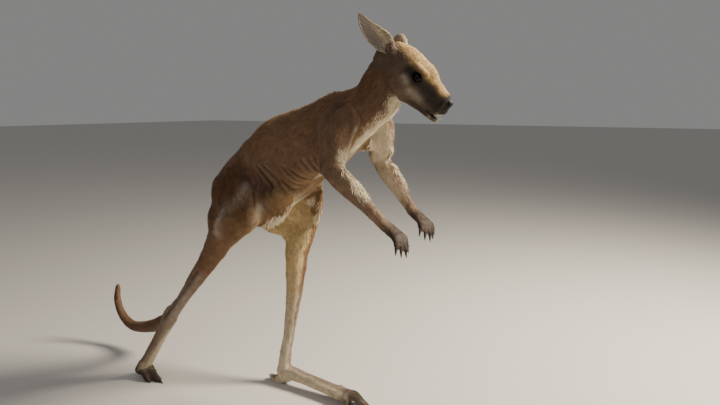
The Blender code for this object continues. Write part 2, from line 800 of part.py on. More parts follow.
def part(body, animal, cutters):
    """Makes each cut in the one piece that holds both neighbours, and names the pieces."""
    pieces, places = [body], part_places()
    for first, second, centre, normal, long_way, halves in body_cuts():
        cutter = disc(second, Vector(centre), normal, long_way, halves, cutters)
        whole = next(p for p in pieces if holds(p, places[first]))
        pieces.remove(whole)
        pieces += loose_pieces(subtract(whole, cutter), animal)
    whole = next(p for p in pieces if holds(p, places["jaw"]))
    pieces.remove(whole)
    pieces += loose_pieces(subtract(whole, mouth_cutter(cutters)), animal)
    named = {}
    for piece in pieces:
        piece.name = "+".join(n for n, place in places.items() if holds(piece, place))
        named[piece.name] = piece
    return named


def paint(thing, finish):
    thing.data.materials.clear()
    thing.data.materials.append(principled(finish))
    thing.data.shade_smooth()
    thing.data.set_sharp_from_angle(angle=math.radians(50))


def level_soles(thing):
    """Cuts the flesh flat at the floor, so that the pads rest on it."""
    shell = bmesh.new()
    shell.from_mesh(thing.data)
    geometry = list(shell.verts) + list(shell.edges) + list(shell.faces)
    bmesh.ops.bisect_plane(
        shell, geom=geometry, plane_co=(0, 0, 0), plane_no=(0, 0, -1), clear_outer=True, dist=1e-5
    )
    rims = [e for e in shell.edges if e.is_boundary]
    bmesh.ops.holes_fill(shell, edges=rims, sides=0)
    bmesh.ops.triangulate(shell, faces=[f for f in shell.faces if len(f.verts) > 4])
    shell.to_mesh(thing.data)
    shell.free()


def thin_out(thing):
    """Fewer faces: coarse on trunk and limbs, finer on the head, hands and feet."""
    fine = thing.vertex_groups.new(name="fine")
    coarse = thing.vertex_groups.new(name="coarse")
    places = [(in_head(0.130, 0, -0.030), 0.165)]
    for name in SIDES:
        _, _, hock, ball = leg_joints(name)
        _, _, wrist = arm_joints(name)
        palm = aim(*ARM_POSE[name]["hand"], SIDES[name])
        places += [(ball, 0.120), (wrist + palm * 0.070, 0.078), (hock, 0.050)]
    for vertex in thing.data.vertices:
        near = any((vertex.co - place).length < radius for place, radius in places)
        (fine if near else coarse).add([vertex.index], 1.0, "REPLACE")
    counts = {"coarse": 0, "fine": 0}
    for face in thing.data.polygons:
        groups = thing.data.vertices[face.vertices[0]].groups
        counts["fine" if groups[0].group == fine.index else "coarse"] += len(face.vertices) - 2
    total = sum(counts.values())
    after_coarse = BODY_TRIANGLES + counts["fine"]
    for group, ratio in (
        ("coarse", after_coarse / total),
        ("fine", (BODY_TRIANGLES + DETAIL_TRIANGLES) / after_coarse),
    ):
        fewer = thing.modifiers.new(group, "DECIMATE")
        fewer.ratio = ratio
        fewer.vertex_group = group
        fewer.use_collapse_triangulate = True
    settle(thing)
    thing.vertex_groups.clear()


# ---------------------------------------------------------------- the whole animal
def centre_over_floor(things):
    """Moves everything so that the middle of its outline on the floor is the origin."""
    places = [v.co for thing in things for v in thing.data.vertices]
    middle = Vector((
        (min(p.x for p in places) + max(p.x for p in places)) / 2,
        (min(p.y for p in places) + max(p.y for p in places)) / 2,
        0.0,
    ))
    for thing in things:
        thing.data.transform(Matrix.Translation(-middle))
        thing.data.update()


def build():
    clear_scene()
    scene = bpy.context.scene.collection
    animal = bpy.data.collections.new("kangaroo")
    cutters = bpy.data.collections.new("cutters")
    scene.children.link(animal)
    scene.children.link(cutters)

    # Large forms first, melted and smoothed well, then the fine ends.
    bulk = bmesh.new()
    add_trunk(bulk)
    add_tail(bulk)
    for name in SIDES:
        add_leg(bulk, name)
        add_arm(bulk, name)
    body = remesh(shell_object("body", bulk, animal), VOXEL * 1.5, 9)

    fine = bmesh.new()
    fine.from_mesh(body.data)
    add_head(fine)
    for name in SIDES:
        add_foot(fine, name)
        add_hand(fine, name)
    fine.to_mesh(body.data)
    fine.free()
    remesh(body, VOXEL, 3)
    thin_out(body)
    level_soles(body)
    # The eyes and the nose leather sit in sockets cut to fit them.
    made = {}
    for name, side in SIDES.items():
        eye = make_eye(name, side, animal)
        subtract(body, inflated(eye, FIT_GAP, cutters))
        made[eye.name] = eye
        paint(eye, EYE)
    nose = make_nose(animal)
    subtract(body, inflated(nose, FIT_GAP, cutters))
    paint(nose, NOSE)
    made[nose.name] = nose

    pieces = part(body, animal, cutters)
    made |= pieces
    for piece in pieces.values():
        paint(piece, COAT)

    for name in SIDES:
        ear = make_ear(name, animal)
        subtract(ear, inflated(pieces["head"], FIT_GAP, cutters))
        keep_largest(ear)
        paint(ear, COAT)
        made[ear.name] = ear
        foot = inflated(pieces["foot_" + name], FIT_GAP, cutters)
        for toe, sizes in TOES.items():
            points, point = toe_points(name, toe)
            claw = make_claw("claw_" + toe + "_toe_" + name, points[-1], point, sizes["claw"], animal, 0.10)
            subtract(claw, foot)
            keep_largest(claw)
            made[claw.name] = claw
        hand = inflated(pieces["hand_" + name], FIT_GAP, cutters)
        for index in range(FINGERS):
            points, point = finger_points(name, index)
            claw = make_claw(f"claw_finger{index + 1}_{name}", points[-1], point, FINGER_CLAW, animal, 0.45)
            subtract(claw, hand)
            keep_largest(claw)
            made[claw.name] = claw
    for name, piece in made.items():
        if name.startswith("claw"):
            paint(piece, CLAW)
    centre_over_floor(made.values())
    return made


build()
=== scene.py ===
"""A red kangaroo, life size, as a still model: hide, coat, eyes, nose, mouth and claws."""

import math

import bmesh
import bpy
import numpy as np
from mathutils import Matrix, Vector
from mathutils.bvhtree import BVHTree


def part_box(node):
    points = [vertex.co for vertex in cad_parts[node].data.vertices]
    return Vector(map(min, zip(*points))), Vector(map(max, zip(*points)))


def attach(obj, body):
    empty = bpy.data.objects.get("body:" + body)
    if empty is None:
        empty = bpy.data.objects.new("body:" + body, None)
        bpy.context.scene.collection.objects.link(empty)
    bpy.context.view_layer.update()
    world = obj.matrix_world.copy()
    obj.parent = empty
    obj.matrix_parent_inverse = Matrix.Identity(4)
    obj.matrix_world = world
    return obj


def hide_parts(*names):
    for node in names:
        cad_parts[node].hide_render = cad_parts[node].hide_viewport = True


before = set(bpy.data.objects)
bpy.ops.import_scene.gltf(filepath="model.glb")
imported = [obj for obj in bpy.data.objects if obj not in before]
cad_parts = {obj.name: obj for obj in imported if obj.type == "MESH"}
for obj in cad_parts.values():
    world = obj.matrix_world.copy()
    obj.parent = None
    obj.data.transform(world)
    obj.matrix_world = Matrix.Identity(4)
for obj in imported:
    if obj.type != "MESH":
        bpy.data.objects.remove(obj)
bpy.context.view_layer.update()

# ------------------------------------------------------------------ hide
# The hide is one closed skin over the whole animal. It is melted together from the body's
# solids, smoothed over muscle and bone, sunk by the depth of the coat that grows on it, and
# then given the folds, tendons and face that the short coat lets show.
SIDES = {"right": -1, "left": 1}
HEAD_PLACE = Vector((0.578, 0.0, 1.240))
HEAD_POSE = (
    Matrix.Translation(HEAD_PLACE)
    @ Matrix.Rotation(math.radians(16), 4, "Z")
    @ Matrix.Rotation(math.radians(45), 4, "Y")
)
NOSE_PLACE = (0.249, 0.0, -0.0145)
nose_low, nose_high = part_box("nose")
HOME = (nose_low + nose_high) / 2 - HEAD_POSE @ Vector(NOSE_PLACE)
HOME.z = 0.0
HEAD = Matrix.Translation(HOME) @ HEAD_POSE
HEAD_INVERSE = np.array(HEAD.inverted())


def at(x, y, z):
    """A place measured from the floor under the pelvis."""
    return np.array((x + HOME.x, y + HOME.y, z))


def in_head(x, y, z):
    """A place in the head: x from the poll to the nose, y to the left, z up from the cheek."""
    return np.array(HEAD @ Vector((x, y, z)))


def head_places(points):
    return points @ HEAD_INVERSE[:3, :3].T + HEAD_INVERSE[:3, 3]


def unit(vectors):
    return vectors / np.maximum(np.linalg.norm(vectors, axis=-1, keepdims=True), 1e-12)


def ramp(low, high, value):
    """A smooth rise from 0 at low to 1 at high."""
    t = np.clip((value - low) / (high - low), 0.0, 1.0)
    return t * t * (3 - 2 * t)


def add(name, data):
    """A new object in the scene."""
    thing = bpy.data.objects.new(name, data)
    bpy.context.scene.collection.objects.link(thing)
    return thing


def smooth_shade(mesh):
    mesh.polygons.foreach_set("use_smooth", np.ones(len(mesh.polygons), bool))


def cast(name, shell):
    """A finished shell as a mesh."""
    mesh = bpy.data.meshes.new(name)
    shell.to_mesh(mesh)
    shell.free()
    smooth_shade(mesh)
    return mesh


def applied(thing):
    """An object's mesh with its modifiers worked out."""
    shaped = thing.evaluated_get(bpy.context.evaluated_depsgraph_get())
    return bpy.data.meshes.new_from_object(shaped)


# The run of each part of the body: (x, y, z, half width) down its middle. A leg's stops go from
# the hip to the toes, and an arm's from the shoulder to the fingertips.
KNEE, CALF, SHANK, SHIN, HEEL = range(2, 7)
ELBOW, FOREARM, CUFF, WRIST = range(2, 6)
TRUNK = [
    (0.578, 0.0, 1.160, 0.059),
    (0.548, 0.0, 1.121, 0.067),
    (0.515, 0.0, 1.063, 0.068),
    (0.470, 0.0, 1.036, 0.078),
    (0.400, 0.0, 1.000, 0.096),
    (0.317, 0.0, 0.947, 0.115),
    (0.237, 0.0, 0.903, 0.134),
    (0.150, 0.0, 0.862, 0.142),
    (0.052, 0.0, 0.812, 0.139),
    (-0.033, 0.0, 0.770, 0.113),
    (-0.086, 0.0, 0.742, 0.078),
]
TAIL = [
    (-0.050, 0.0, 0.770, 0.090),
    (-0.106, 0.0, 0.694, 0.074),
    (-0.152, 0.0, 0.605, 0.061),
    (-0.215, 0.0, 0.491, 0.047),
    (-0.303, 0.0, 0.369, 0.0385),
    (-0.387, 0.0, 0.264, 0.035),
    (-0.468, 0.0, 0.184, 0.0325),
    (-0.555, 0.0, 0.134, 0.030),
    (-0.640, 0.0, 0.109, 0.0245),
    (-0.715, 0.0, 0.104, 0.0185),
    (-0.775, 0.0, 0.138, 0.014),
    (-0.802, 0.0, 0.198, 0.011),
    (-0.796, 0.0, 0.258, 0.008),
]
LEGS = {
    "right": [
        (-0.052, -0.100, 0.800, 0.095),
        (0.050, -0.150, 0.745, 0.085),
        (0.151, -0.197, 0.690, 0.055),
        (0.050, -0.205, 0.595, 0.060),
        (-0.065, -0.188, 0.478, 0.040),
        (-0.190, -0.174, 0.355, 0.028),
        (-0.280, -0.163, 0.270, 0.027),
        (-0.360, -0.166, 0.150, 0.022),
        (-0.440, -0.169, 0.035, 0.026),
        (-0.350, -0.165, 0.012, 0.022),
    ],
    "left": [
        (-0.052, 0.100, 0.800, 0.095),
        (0.040, 0.130, 0.715, 0.085),
        (0.142, 0.164, 0.640, 0.055),
        (0.118, 0.140, 0.530, 0.062),
        (0.100, 0.110, 0.360, 0.038),
        (0.088, 0.092, 0.180, 0.027),
        (0.077, 0.075, 0.053, 0.030),
        (0.220, 0.067, 0.036, 0.022),
        (0.358, 0.060, 0.026, 0.028),
        (0.450, 0.063, 0.012, 0.022),
    ],
}
ARMS = {
    "right": [
        (0.445, -0.090, 1.000, 0.062),
        (0.452, -0.130, 0.930, 0.048),
        (0.4546, -0.161, 0.863, 0.036),
        (0.505, -0.148, 0.812, 0.033),
        (0.560, -0.132, 0.758, 0.025),
        (0.6114, -0.118, 0.7064, 0.022),
        (0.650, -0.110, 0.672, 0.026),
        (0.672, -0.108, 0.635, 0.024),
    ],
    "left": [
        (0.467, 0.090, 1.000, 0.062),
        (0.452, 0.130, 0.935, 0.048),
        (0.4362, 0.161, 0.8665, 0.036),
        (0.485, 0.144, 0.817, 0.033),
        (0.540, 0.124, 0.762, 0.025),
        (0.5912, 0.106, 0.7114, 0.022),
        (0.630, 0.095, 0.680, 0.026),
        (0.652, 0.092, 0.643, 0.024),
    ],
}
SKULL = [
    (0.262, 0.0, -0.045, 0.030),
    (0.190, 0.0, -0.045, 0.046),
    (0.100, 0.0, -0.043, 0.068),
    (0.020, 0.0, -0.055, 0.058),
]
RUNS = {
    "head": [(*in_head(x, y, z), r) for x, y, z, r in SKULL],
    "trunk": [(*at(x, y, z), r) for x, y, z, r in TRUNK],
    "tail": [(*at(x, y, z), r) for x, y, z, r in TAIL],
}
for name in SIDES:
    RUNS["leg_" + name] = [(*at(x, y, z), r) for x, y, z, r in LEGS[name]]
    RUNS["arm_" + name] = [(*at(x, y, z), r) for x, y, z, r in ARMS[name]]


def along_run(points, run):
    """For each point: how far along the run (0 to 1), distance, radius, centre and heading."""
    run = np.array(run)
    stops, radii = run[:, :3], run[:, 3]
    lengths = np.linalg.norm(np.diff(stops, axis=0), axis=1)
    starts = np.concatenate(([0.0], np.cumsum(lengths)))
    best = np.full(len(points), 1e9)
    share, radius = np.zeros(len(points)), np.zeros(len(points))
    centre, heading = np.zeros((len(points), 3)), np.zeros((len(points), 3))
    for k in range(len(lengths)):
        way = stops[k + 1] - stops[k]
        t = np.clip((points - stops[k]) @ way / (way @ way), 0.0, 1.0)
        near = stops[k] + t[:, None] * way
        gap = np.linalg.norm(points - near, axis=1)
        closer = gap < best
        best[closer] = gap[closer]
        share[closer] = ((starts[k] + t * lengths[k]) / starts[-1])[closer]
        radius[closer] = (radii[k] + t * (radii[k + 1] - radii[k]))[closer]
        centre[closer] = near[closer]
        heading[closer] = way / lengths[k]
    return share, best, radius, centre, heading


def line_gap(points, start, end):
    """How far each point is from the line from start to end."""
    start, end = np.array(start), np.array(end)
    way = end - start
    t = np.clip((points - start) @ way / max(way @ way, 1e-12), 0.0, 1.0)
    return np.linalg.norm(points - start - t[:, None] * way, axis=1)


def near_line(points, start, end, radius):
    """1 on the line from start to end, falling off smoothly over the radius."""
    return np.exp(-((line_gap(points, start, end) / radius) ** 2))


def near_path(points, stops, radius):
    """The same for a line through several stops."""
    return np.max([near_line(points, *ends, radius) for ends in zip(stops, stops[1:])], axis=0)


def ripple(points, size, seed):
    """A smooth uneven field from about -1 to 1, whose swells are about size across."""
    draw = np.random.default_rng(seed)
    total = np.zeros(len(points))
    for _ in range(9):
        way = unit(draw.normal(size=3)) * draw.uniform(0.6, 1.6) * math.pi / size
        total += np.sin(points @ way + draw.uniform(0, 2 * math.pi))
    return total / 3.0


EARLESS = ["head", "jaw", "neck"]
BODY = ["neck", "chest", "belly", "hips", "tail_root", "tail_middle", "tail_tip"]
for name in SIDES:
    BODY += [part + name for part in ("thigh_", "shank_", "upper_arm_", "forearm_")]


def stifle_web(shell, side, knee):
    """The fold of skin between the knee and the belly: a thick leaf, and an apron over its root."""
    start = Vector(knee) + Vector((0.030, -side * 0.030, -0.006))
    end = Vector(at(0.245, side * 0.082, 0.742))
    way = (end - start).normalized()
    over = (Vector((0, 0, 1)) - way * way.z).normalized()
    turn = Matrix((way, over, way.cross(over))).transposed().to_4x4()
    leaf = (start + end) / 2 + over * 0.014 + Vector((-0.006, side * 0.006, 0.0))
    leaf_sizes = ((end - start).length / 2 + 0.034, 0.052, 0.019)
    apron, apron_sizes = at(0.188, side * 0.094, 0.760), (0.066, 0.044, 0.030)
    for place, sizes in ((leaf, leaf_sizes), (apron, apron_sizes)):
        form = Matrix.Translation(place) @ turn @ Matrix.Diagonal((*sizes, 1.0))
        bmesh.ops.create_icosphere(shell, subdivisions=4, radius=1.0, matrix=form)


def blunt_tail(shell):
    """The flesh runs on to the end of the tail, which is thick and rounded off."""
    stops = [Vector(stop[:3]) for stop in RUNS["tail"][-6:]]
    stops.append(stops[-1] + (stops[-1] - stops[-2]) * 0.9)
    radii = (0.0245, 0.0205, 0.0175, 0.0155, 0.0115)
    for i, (thick, thin) in enumerate(zip(radii, radii[1:])):
        before, start, end, after = stops[i:i + 4]
        for step in range(9):
            t = step / 8
            place = start + (end - before) * (t / 2)
            place += (before * 2 - start * 5 + end * 4 - after) * (t * t / 2)
            place += (start * 3 - before - end * 3 + after) * (t * t * t / 2)
            radius, form = thick + (thin - thick) * t, Matrix.Translation(place)
            bmesh.ops.create_icosphere(shell, subdivisions=3, radius=radius, matrix=form)


SWELL = 0.0006  # how far the solids swell before they melt, so that their seams close


def melted(names, voxel, rounds):
    """The named solids as one skin: a remesh, then a smoothing that keeps their thickness."""
    shell = bmesh.new()
    if "belly" in names:
        for name, side in SIDES.items():
            stifle_web(shell, side, RUNS["leg_" + name][KNEE][:3])
        blunt_tail(shell)
    for name in names:
        shell.from_mesh(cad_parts[name].data)
    bmesh.ops.remove_doubles(shell, verts=shell.verts[:], dist=1e-6)
    shell.normal_update()
    for vertex in shell.verts:
        vertex.co += vertex.normal * SWELL
    thing = add("flesh", cast("flesh", shell))
    melt = thing.modifiers.new("melt", "REMESH")
    melt.mode = "VOXEL"
    melt.voxel_size = voxel
    made = applied(thing)
    bpy.data.objects.remove(thing)
    places = read_places(made)
    edges = np.zeros(len(made.edges) * 2, np.int64)
    made.edges.foreach_get("vertices", edges)
    weight = 0.12 + 0.88 * ramp(0.012, 0.075, wall_thickness(made, places))  # thin parts stay crisp
    if "jaw" in names:
        weight *= 1 - 0.75 * ramp(0.17, 0.20, head_places(places)[:, 0])  # and so does the muzzle
    set_places(made, relaxed(places, edges.reshape(-1, 2), weight, rounds))
    return made


def read_places(mesh):
    places = np.zeros(len(mesh.vertices) * 3)
    mesh.vertices.foreach_get("co", places)
    return places.reshape(-1, 3)


def set_places(mesh, places):
    mesh.vertices.foreach_set("co", places.ravel())
    mesh.update()


def read_normals(mesh):
    normals = np.zeros(len(mesh.vertices) * 3)
    mesh.vertex_normals.foreach_get("vector", normals)
    return normals.reshape(-1, 3)


def wall_thickness(mesh, places, deepest=0.3):
    """How far it is through the flesh behind each vertex."""
    tree = BVHTree.FromPolygons(places.tolist(), [p.vertices for p in mesh.polygons])
    normals = read_normals(mesh)
    found = np.zeros(len(places))
    for i, (place, normal) in enumerate(zip(places - normals * 1e-4, normals)):
        found[i] = tree.ray_cast(place, -normal, deepest)[3] or deepest
    return found


def relaxed(places, edges, weight, rounds):
    """Evens out facets: each round draws vertices together, and then back out again."""
    count = len(places)
    a, b = edges.T
    links = np.maximum(np.bincount(a, minlength=count) + np.bincount(b, minlength=count), 1)
    for _ in range(rounds):
        for pull in (0.60, -0.62):
            sums = [
                np.bincount(a, places[b, k], count) + np.bincount(b, places[a, k], count)
                for k in range(3)
            ]
            middle = np.stack(sums, axis=1) / links[:, None]
            places = places + (weight * pull)[:, None] * (middle - places)
    return places


def cut_off(shell, centre, way, reach=None):
    """Takes away what lies beyond a plane, in the whole mesh or only near its centre."""
    centre, way = Vector(centre), Vector(way).normalized()
    faces = shell.faces
    if reach:
        faces = [f for f in faces if (f.calc_center_median() - centre).length < reach]
    edges = {e for f in faces for e in f.edges}
    verts = {v for f in faces for v in f.verts}
    bmesh.ops.bisect_plane(
        shell, geom=[*verts, *edges, *faces], plane_co=centre, plane_no=way, dist=1e-6
    )
    beyond = [
        v for v in shell.verts
        if (v.co - centre).dot(way) > 1e-5 and (not reach or (v.co - centre).length < reach)
    ]
    bmesh.ops.delete(shell, geom=beyond, context="VERTS")


# Where the finely made ends join the trunk: (solids, cell, rounds, place, way to the end, reach).
ABOVE_ANKLE, ABOVE_WRIST = 0.075, 0.045
ENDS = [(EARLESS, 0.0027, 20, at(0.535, 0.0, 1.100), np.array((0.80, 0.0, 0.60)), None)]
for name in SIDES:
    leg, arm = np.array(RUNS["leg_" + name])[:, :3], np.array(RUNS["arm_" + name])[:, :3]
    shin, fore = unit(leg[HEEL] - leg[SHIN]), unit(arm[WRIST] - arm[CUFF])
    foot_solids = ["shank_" + name, "foot_" + name]
    hand_solids = ["forearm_" + name, "hand_" + name]
    ENDS.append((foot_solids, 0.0044, 12, leg[HEEL] - shin * ABOVE_ANKLE, shin, 0.13))
    ENDS.append((hand_solids, 0.0034, 8, arm[WRIST] - fore * ABOVE_WRIST, fore, 0.10))

GAP = 0.0012  # half the width of the bands that join the ends to the trunk
RIM_REACH = 0.12  # how wide such a band can be
hide = bmesh.new()
hide.from_mesh(melted(BODY, 0.0070, 36))
for *_, place, way, reach in ENDS:
    cut_off(hide, place - way * GAP, way, reach)
for solids, cell, rounds, place, way, _ in ENDS:
    end = bmesh.new()
    end.from_mesh(melted(solids, cell, rounds))
    cut_off(end, place + way * GAP, -way)
    hide.from_mesh(cast("end", end))
for *_, place, way, _ in ENDS:
    centre = Vector(place)
    rims = [
        e for e in hide.edges
        if e.is_boundary and (e.verts[0].co - centre).length < RIM_REACH
        and abs((e.verts[0].co - centre).dot(Vector(way))) < 3 * GAP
    ]
    bmesh.ops.bridge_loops(hide, edges=rims)
bmesh.ops.triangulate(hide, faces=[f for f in hide.faces if len(f.verts) > 4])
bmesh.ops.recalc_face_normals(hide, faces=hide.faces[:])
hide_mesh = cast("hide", hide)
skin = add("hide", hide_mesh)


class Body:
    """What is known of each point on the body: its part, and its place round and along it."""

    def __init__(self, points, normals):
        self.points, self.normals = points, normals
        self.head = head_places(points)
        self.runs = {name: along_run(points, run) for name, run in RUNS.items()}
        names = list(RUNS)
        near = np.stack([self.runs[n][1] / self.runs[n][2] for n in names])
        self.part = np.array(names)[near.argmin(0)]
        self.pull = {n: np.exp(-2.2 * near[k] ** 2) + 1e-6 for k, n in enumerate(names)}
        share, _, radius, centre, heading = self.runs["trunk"]
        up = unit(np.array((0.0, 0.0, 1.0)) - heading * heading[:, 2:3])
        self.trunk_up = ((points - centre) * up).sum(1) / radius
        self.trunk_share = share

    def is_part(self, *names):
        return np.isin(self.part, names)

    def share(self, name):
        return self.runs[name][0]


COAT_DEPTHS = {
    # depth where the run starts, how much thinner it ends, and between which shares of the run
    "leg": (0.0058, 0.0042, 0.28, 0.72),
    "arm": (0.0054, 0.0038, 0.20, 0.75),
    "tail": (0.0055, 0.0035, 0.15, 0.95),
}


def coat_depth(body):
    """How far the tips of the coat stand off the skin."""
    depth = np.full(len(body.points), 0.0058)
    head = body.is_part("head")
    depth[head] = 0.0018 + 0.0022 * ramp(0.11, 0.02, body.head[head, 0])
    for name in RUNS:
        if name.split("_")[0] in COAT_DEPTHS:
            full, loss, start, end = COAT_DEPTHS[name.split("_")[0]]
            on = body.is_part(name)
            depth[on] = full - loss * ramp(start, end, body.share(name)[on])
    return depth * (1 - 0.92 * ramp(0.012, 0.004, body.points[:, 2]))  # worn off the soles


body = Body(read_places(hide_mesh), read_normals(hide_mesh))
places = body.points - body.normals * coat_depth(body)[:, None]


# Under the short coat show the shoulder blade, the muscles of thigh and shank, the tendons of
# wrist and heel, and the loose skin of the flank, which falls in narrow slanting folds from the
# stifle to the belly, and in short ones behind the elbow.
FOLDS = [
    # depth, then the line of the fold on the flank (forward, up)
    (0.0044, (0.156, 0.870), (0.190, 0.838), (0.230, 0.794)),
    (0.0022, (0.150, 0.854), (0.176, 0.824), (0.204, 0.790)),
    (0.0064, (0.130, 0.868), (0.158, 0.836), (0.186, 0.802), (0.212, 0.767), (0.228, 0.742)),
    (0.0034, (0.160, 0.818), (0.188, 0.782), (0.215, 0.740)),
    (0.0062, (0.134, 0.838), (0.163, 0.802), (0.188, 0.766), (0.206, 0.734)),
    (0.0030, (0.128, 0.818), (0.152, 0.786), (0.178, 0.744)),
    (0.0022, (0.188, 0.852), (0.214, 0.822), (0.240, 0.788)),
    (0.0030, (0.204, 0.820), (0.230, 0.784), (0.250, 0.750)),
    (0.0040, (0.226, 0.818), (0.246, 0.786), (0.270, 0.750)),
    (0.0024, (0.234, 0.868), (0.262, 0.832), (0.288, 0.794)),
    (0.0026, (0.256, 0.860), (0.286, 0.824), (0.312, 0.794)),
    (0.0018, (0.250, 0.816), (0.270, 0.790), (0.290, 0.768)),
    (0.0024, (0.298, 0.892), (0.314, 0.856), (0.326, 0.826)),
    (0.0034, (0.320, 0.894), (0.332, 0.858), (0.342, 0.826)),
    (0.0034, (0.342, 0.898), (0.347, 0.862), (0.352, 0.834)),
    (0.0034, (0.146, 0.792), (0.172, 0.754), (0.192, 0.712)),
    (0.0028, (0.166, 0.782), (0.190, 0.746), (0.212, 0.708)),
]
FOLD_WIDTH, RIDGE_OFF, RIDGE_WIDTH = 0.0032, 0.0078, 0.0036


def flank_folds(points):
    """How deep each point lies in a fold (below zero: on a ridge), and how near the folds are."""
    beside = points - np.array(HOME)
    beside[:, 1] = 0.0
    beside[:, 0] += 0.0026 * ripple(points, 0.045, 5)
    outside = ramp(0.020, 0.060, abs(points[:, 1] - HOME.y))
    deep, near = np.zeros(len(points)), np.zeros(len(points))
    for depth, *stops in FOLDS:
        gap = np.full(len(points), 1.0)
        for start, end in zip(stops, stops[1:]):
            gap = np.minimum(gap, line_gap(beside, (start[0], 0, start[1]), (end[0], 0, end[1])))
        first, last = np.array(stops[0]), np.array(stops[-1])
        along = ((beside[:, [0, 2]] - first) @ (last - first)) / ((last - first) @ (last - first))
        fade = ramp(0.0, 0.22, along) * ramp(1.0, 0.62, along)
        ridge = np.exp(-(((gap - RIDGE_OFF) / RIDGE_WIDTH) ** 2))
        deep += depth * fade * (np.exp(-((gap / FOLD_WIDTH) ** 2)) - 0.30 * ridge)
        near = np.maximum(near, np.exp(-((gap / 0.020) ** 2)))
    return deep * outside, near * outside


SWELLS = [
    # start, end, radius, height (metres; below zero is a hollow)
    ((0.372, 0.096, 1.010), (0.436, 0.118, 0.950), 0.016, 0.0035),
    ((0.345, 0.110, 0.965), (0.410, 0.128, 0.905), 0.018, -0.0060),
    ((0.498, 0.088, 1.030), (0.515, 0.100, 0.955), 0.016, -0.0035),
    ((0.060, 0.120, 0.865), (0.160, 0.155, 0.785), 0.020, -0.0065),
    ((0.120, 0.165, 0.790), (0.110, 0.205, 0.745), 0.018, 0.0040),
    ((0.100, 0.205, 0.735), (0.060, 0.222, 0.660), 0.022, 0.0045),
    ((0.150, 0.215, 0.740), (0.120, 0.230, 0.640), 0.017, -0.0045),
    ((0.010, 0.170, 0.760), (-0.010, 0.200, 0.680), 0.024, -0.0035),
]


# The thigh that is stretched back is creased more than the one that stands forward.
CREASE_RELIEF = {"right": 1.0, "left": 0.25}
THIGH_FRONT = 0.2


def mirror_of(place, side):
    return at(place[0], place[1] * side, place[2])


def near_mirrored(points, start, end, radius, side):
    return near_line(points, mirror_of(start, side), mirror_of(end, side), radius)


def shank_lines(name, side):
    """The leg's stops, its ways out and back, and the run of the sunk cord down the shank, darkened
    with painted shade.
    """
    stops = [np.array(stop[:3]) for stop in RUNS["leg_" + name]]
    back = unit(np.cross(unit(stops[HEEL] - stops[CALF]), (0.0, 1.0, 0.0)))
    back, out = back if back[0] < 0 else -back, np.array((0.0, side, 0.0))
    upper = stops[SHANK] + out * 0.013 + back * 0.012
    middle = stops[SHIN] + out * 0.011 + back * 0.010
    return stops, out, back, (upper, middle, stops[HEEL] + out * 0.015)


def under_coat(body):
    """How far the forms under the coat raise or sink the skin."""
    points = body.points
    trunk = body.pull["trunk"] / sum(body.pull.values())
    rise = 0.0010 * ripple(points, 0.070, 11) * ramp(0.2, 0.7, trunk)
    rise -= flank_folds(points)[0] * ramp(0.15, 0.45, trunk)
    for name, side in SIDES.items():
        for start, end, radius, height in SWELLS:
            height *= CREASE_RELIEF[name] if start[0] < THIGH_FRONT else 1.0
            rise += height * near_mirrored(points, start, end, radius, side)
        leg, out, back, cord = shank_lines(name, side)
        arm = [np.array(stop[:3]) for stop in RUNS["arm_" + name]]
        shin, fore = unit(leg[HEEL] - leg[CALF]), unit(arm[WRIST] - arm[ELBOW])
        groove, hollow = out * 0.030 + back * 0.006, back * 0.014 - out * 0.018
        rise -= 0.0045 * near_path(points, cord, 0.0085)
        for height, start, end, radius in (
            # The kneecap, the edge between calf and shin, and the heel tendon standing free.
            (0.0045, leg[KNEE] - shin * 0.012, leg[KNEE] + shin * 0.012, 0.020),
            (-0.0030, leg[CALF] + groove, leg[SHIN] + groove * 0.8, 0.0105),
            (-0.0035, leg[SHANK] + hollow, leg[HEEL] + hollow * 0.7, 0.0100),
            # Elbow, the cord of the forearm, and the knuckles of the wrist.
            (0.0030, arm[ELBOW] - (0.016, 0, 0.004), arm[ELBOW] - (0.010, 0, -0.01), 0.014),
            (-0.0022, arm[FOREARM] + out * 0.026, arm[CUFF] + out * 0.020, 0.0085),
            (0.0016, arm[WRIST] + out * 0.016, arm[WRIST] + out * 0.018 + fore * 0.01, 0.010),
        ):
            rise += height * near_line(points, start, end, radius)
    return rise


# The face: brow, cheekbone, the hollow before the eye, the angle of the jaw, the whisker pad, the
# gape of the mouth, the forehead and the bridge of the nose.
FACE_SWELLS = [
    # start, end (x, half-way y, z in the head), radius, height
    ((0.112, 0.047, -0.002), (0.148, 0.040, -0.002), 0.0095, 0.0062),
    ((0.104, 0.052, -0.044), (0.156, 0.041, -0.048), 0.0090, 0.0036),
    ((0.152, 0.036, -0.020), (0.190, 0.030, -0.026), 0.0085, -0.0030),
    ((0.060, 0.050, -0.060), (0.100, 0.052, -0.084), 0.0180, 0.0034),
    ((0.210, 0.028, -0.050), (0.236, 0.022, -0.050), 0.0130, 0.0028),
    ((0.190, 0.038, -0.0755), (0.226, 0.030, -0.0700), 0.0030, -0.0042),
    ((0.146, 0.0, 0.020), (0.172, 0.0, 0.010), 0.0240, 0.0036),
    ((0.205, 0.0, 0.004), (0.232, 0.0, 0.001), 0.0110, 0.0022),
]
EYE_PLACE, EYE_RADIUS = (0.134, 0.0415, -0.0205), 0.0158
EYE_OPENING = (0.0144, 0.0092)  # half length and half height between the lids
UPPER_LID = 1.35  # the upper lid hangs lower than the lower one rises
LID = 0.0012
LID_EDGE, LID_ROLL = 1.25, 0.0006  # where the thick edge of the lid ends, and how far it stands out
LIDS_WRAP, LIDS_FADE = 1.15, 1.90  # how far round the opening the lids cling, and end
EYE_SUNK = 0.0040  # inside the opening the skin sinks behind the face of the ball
LIP_LINE = -0.0655  # height in the head where upper lip meets lower


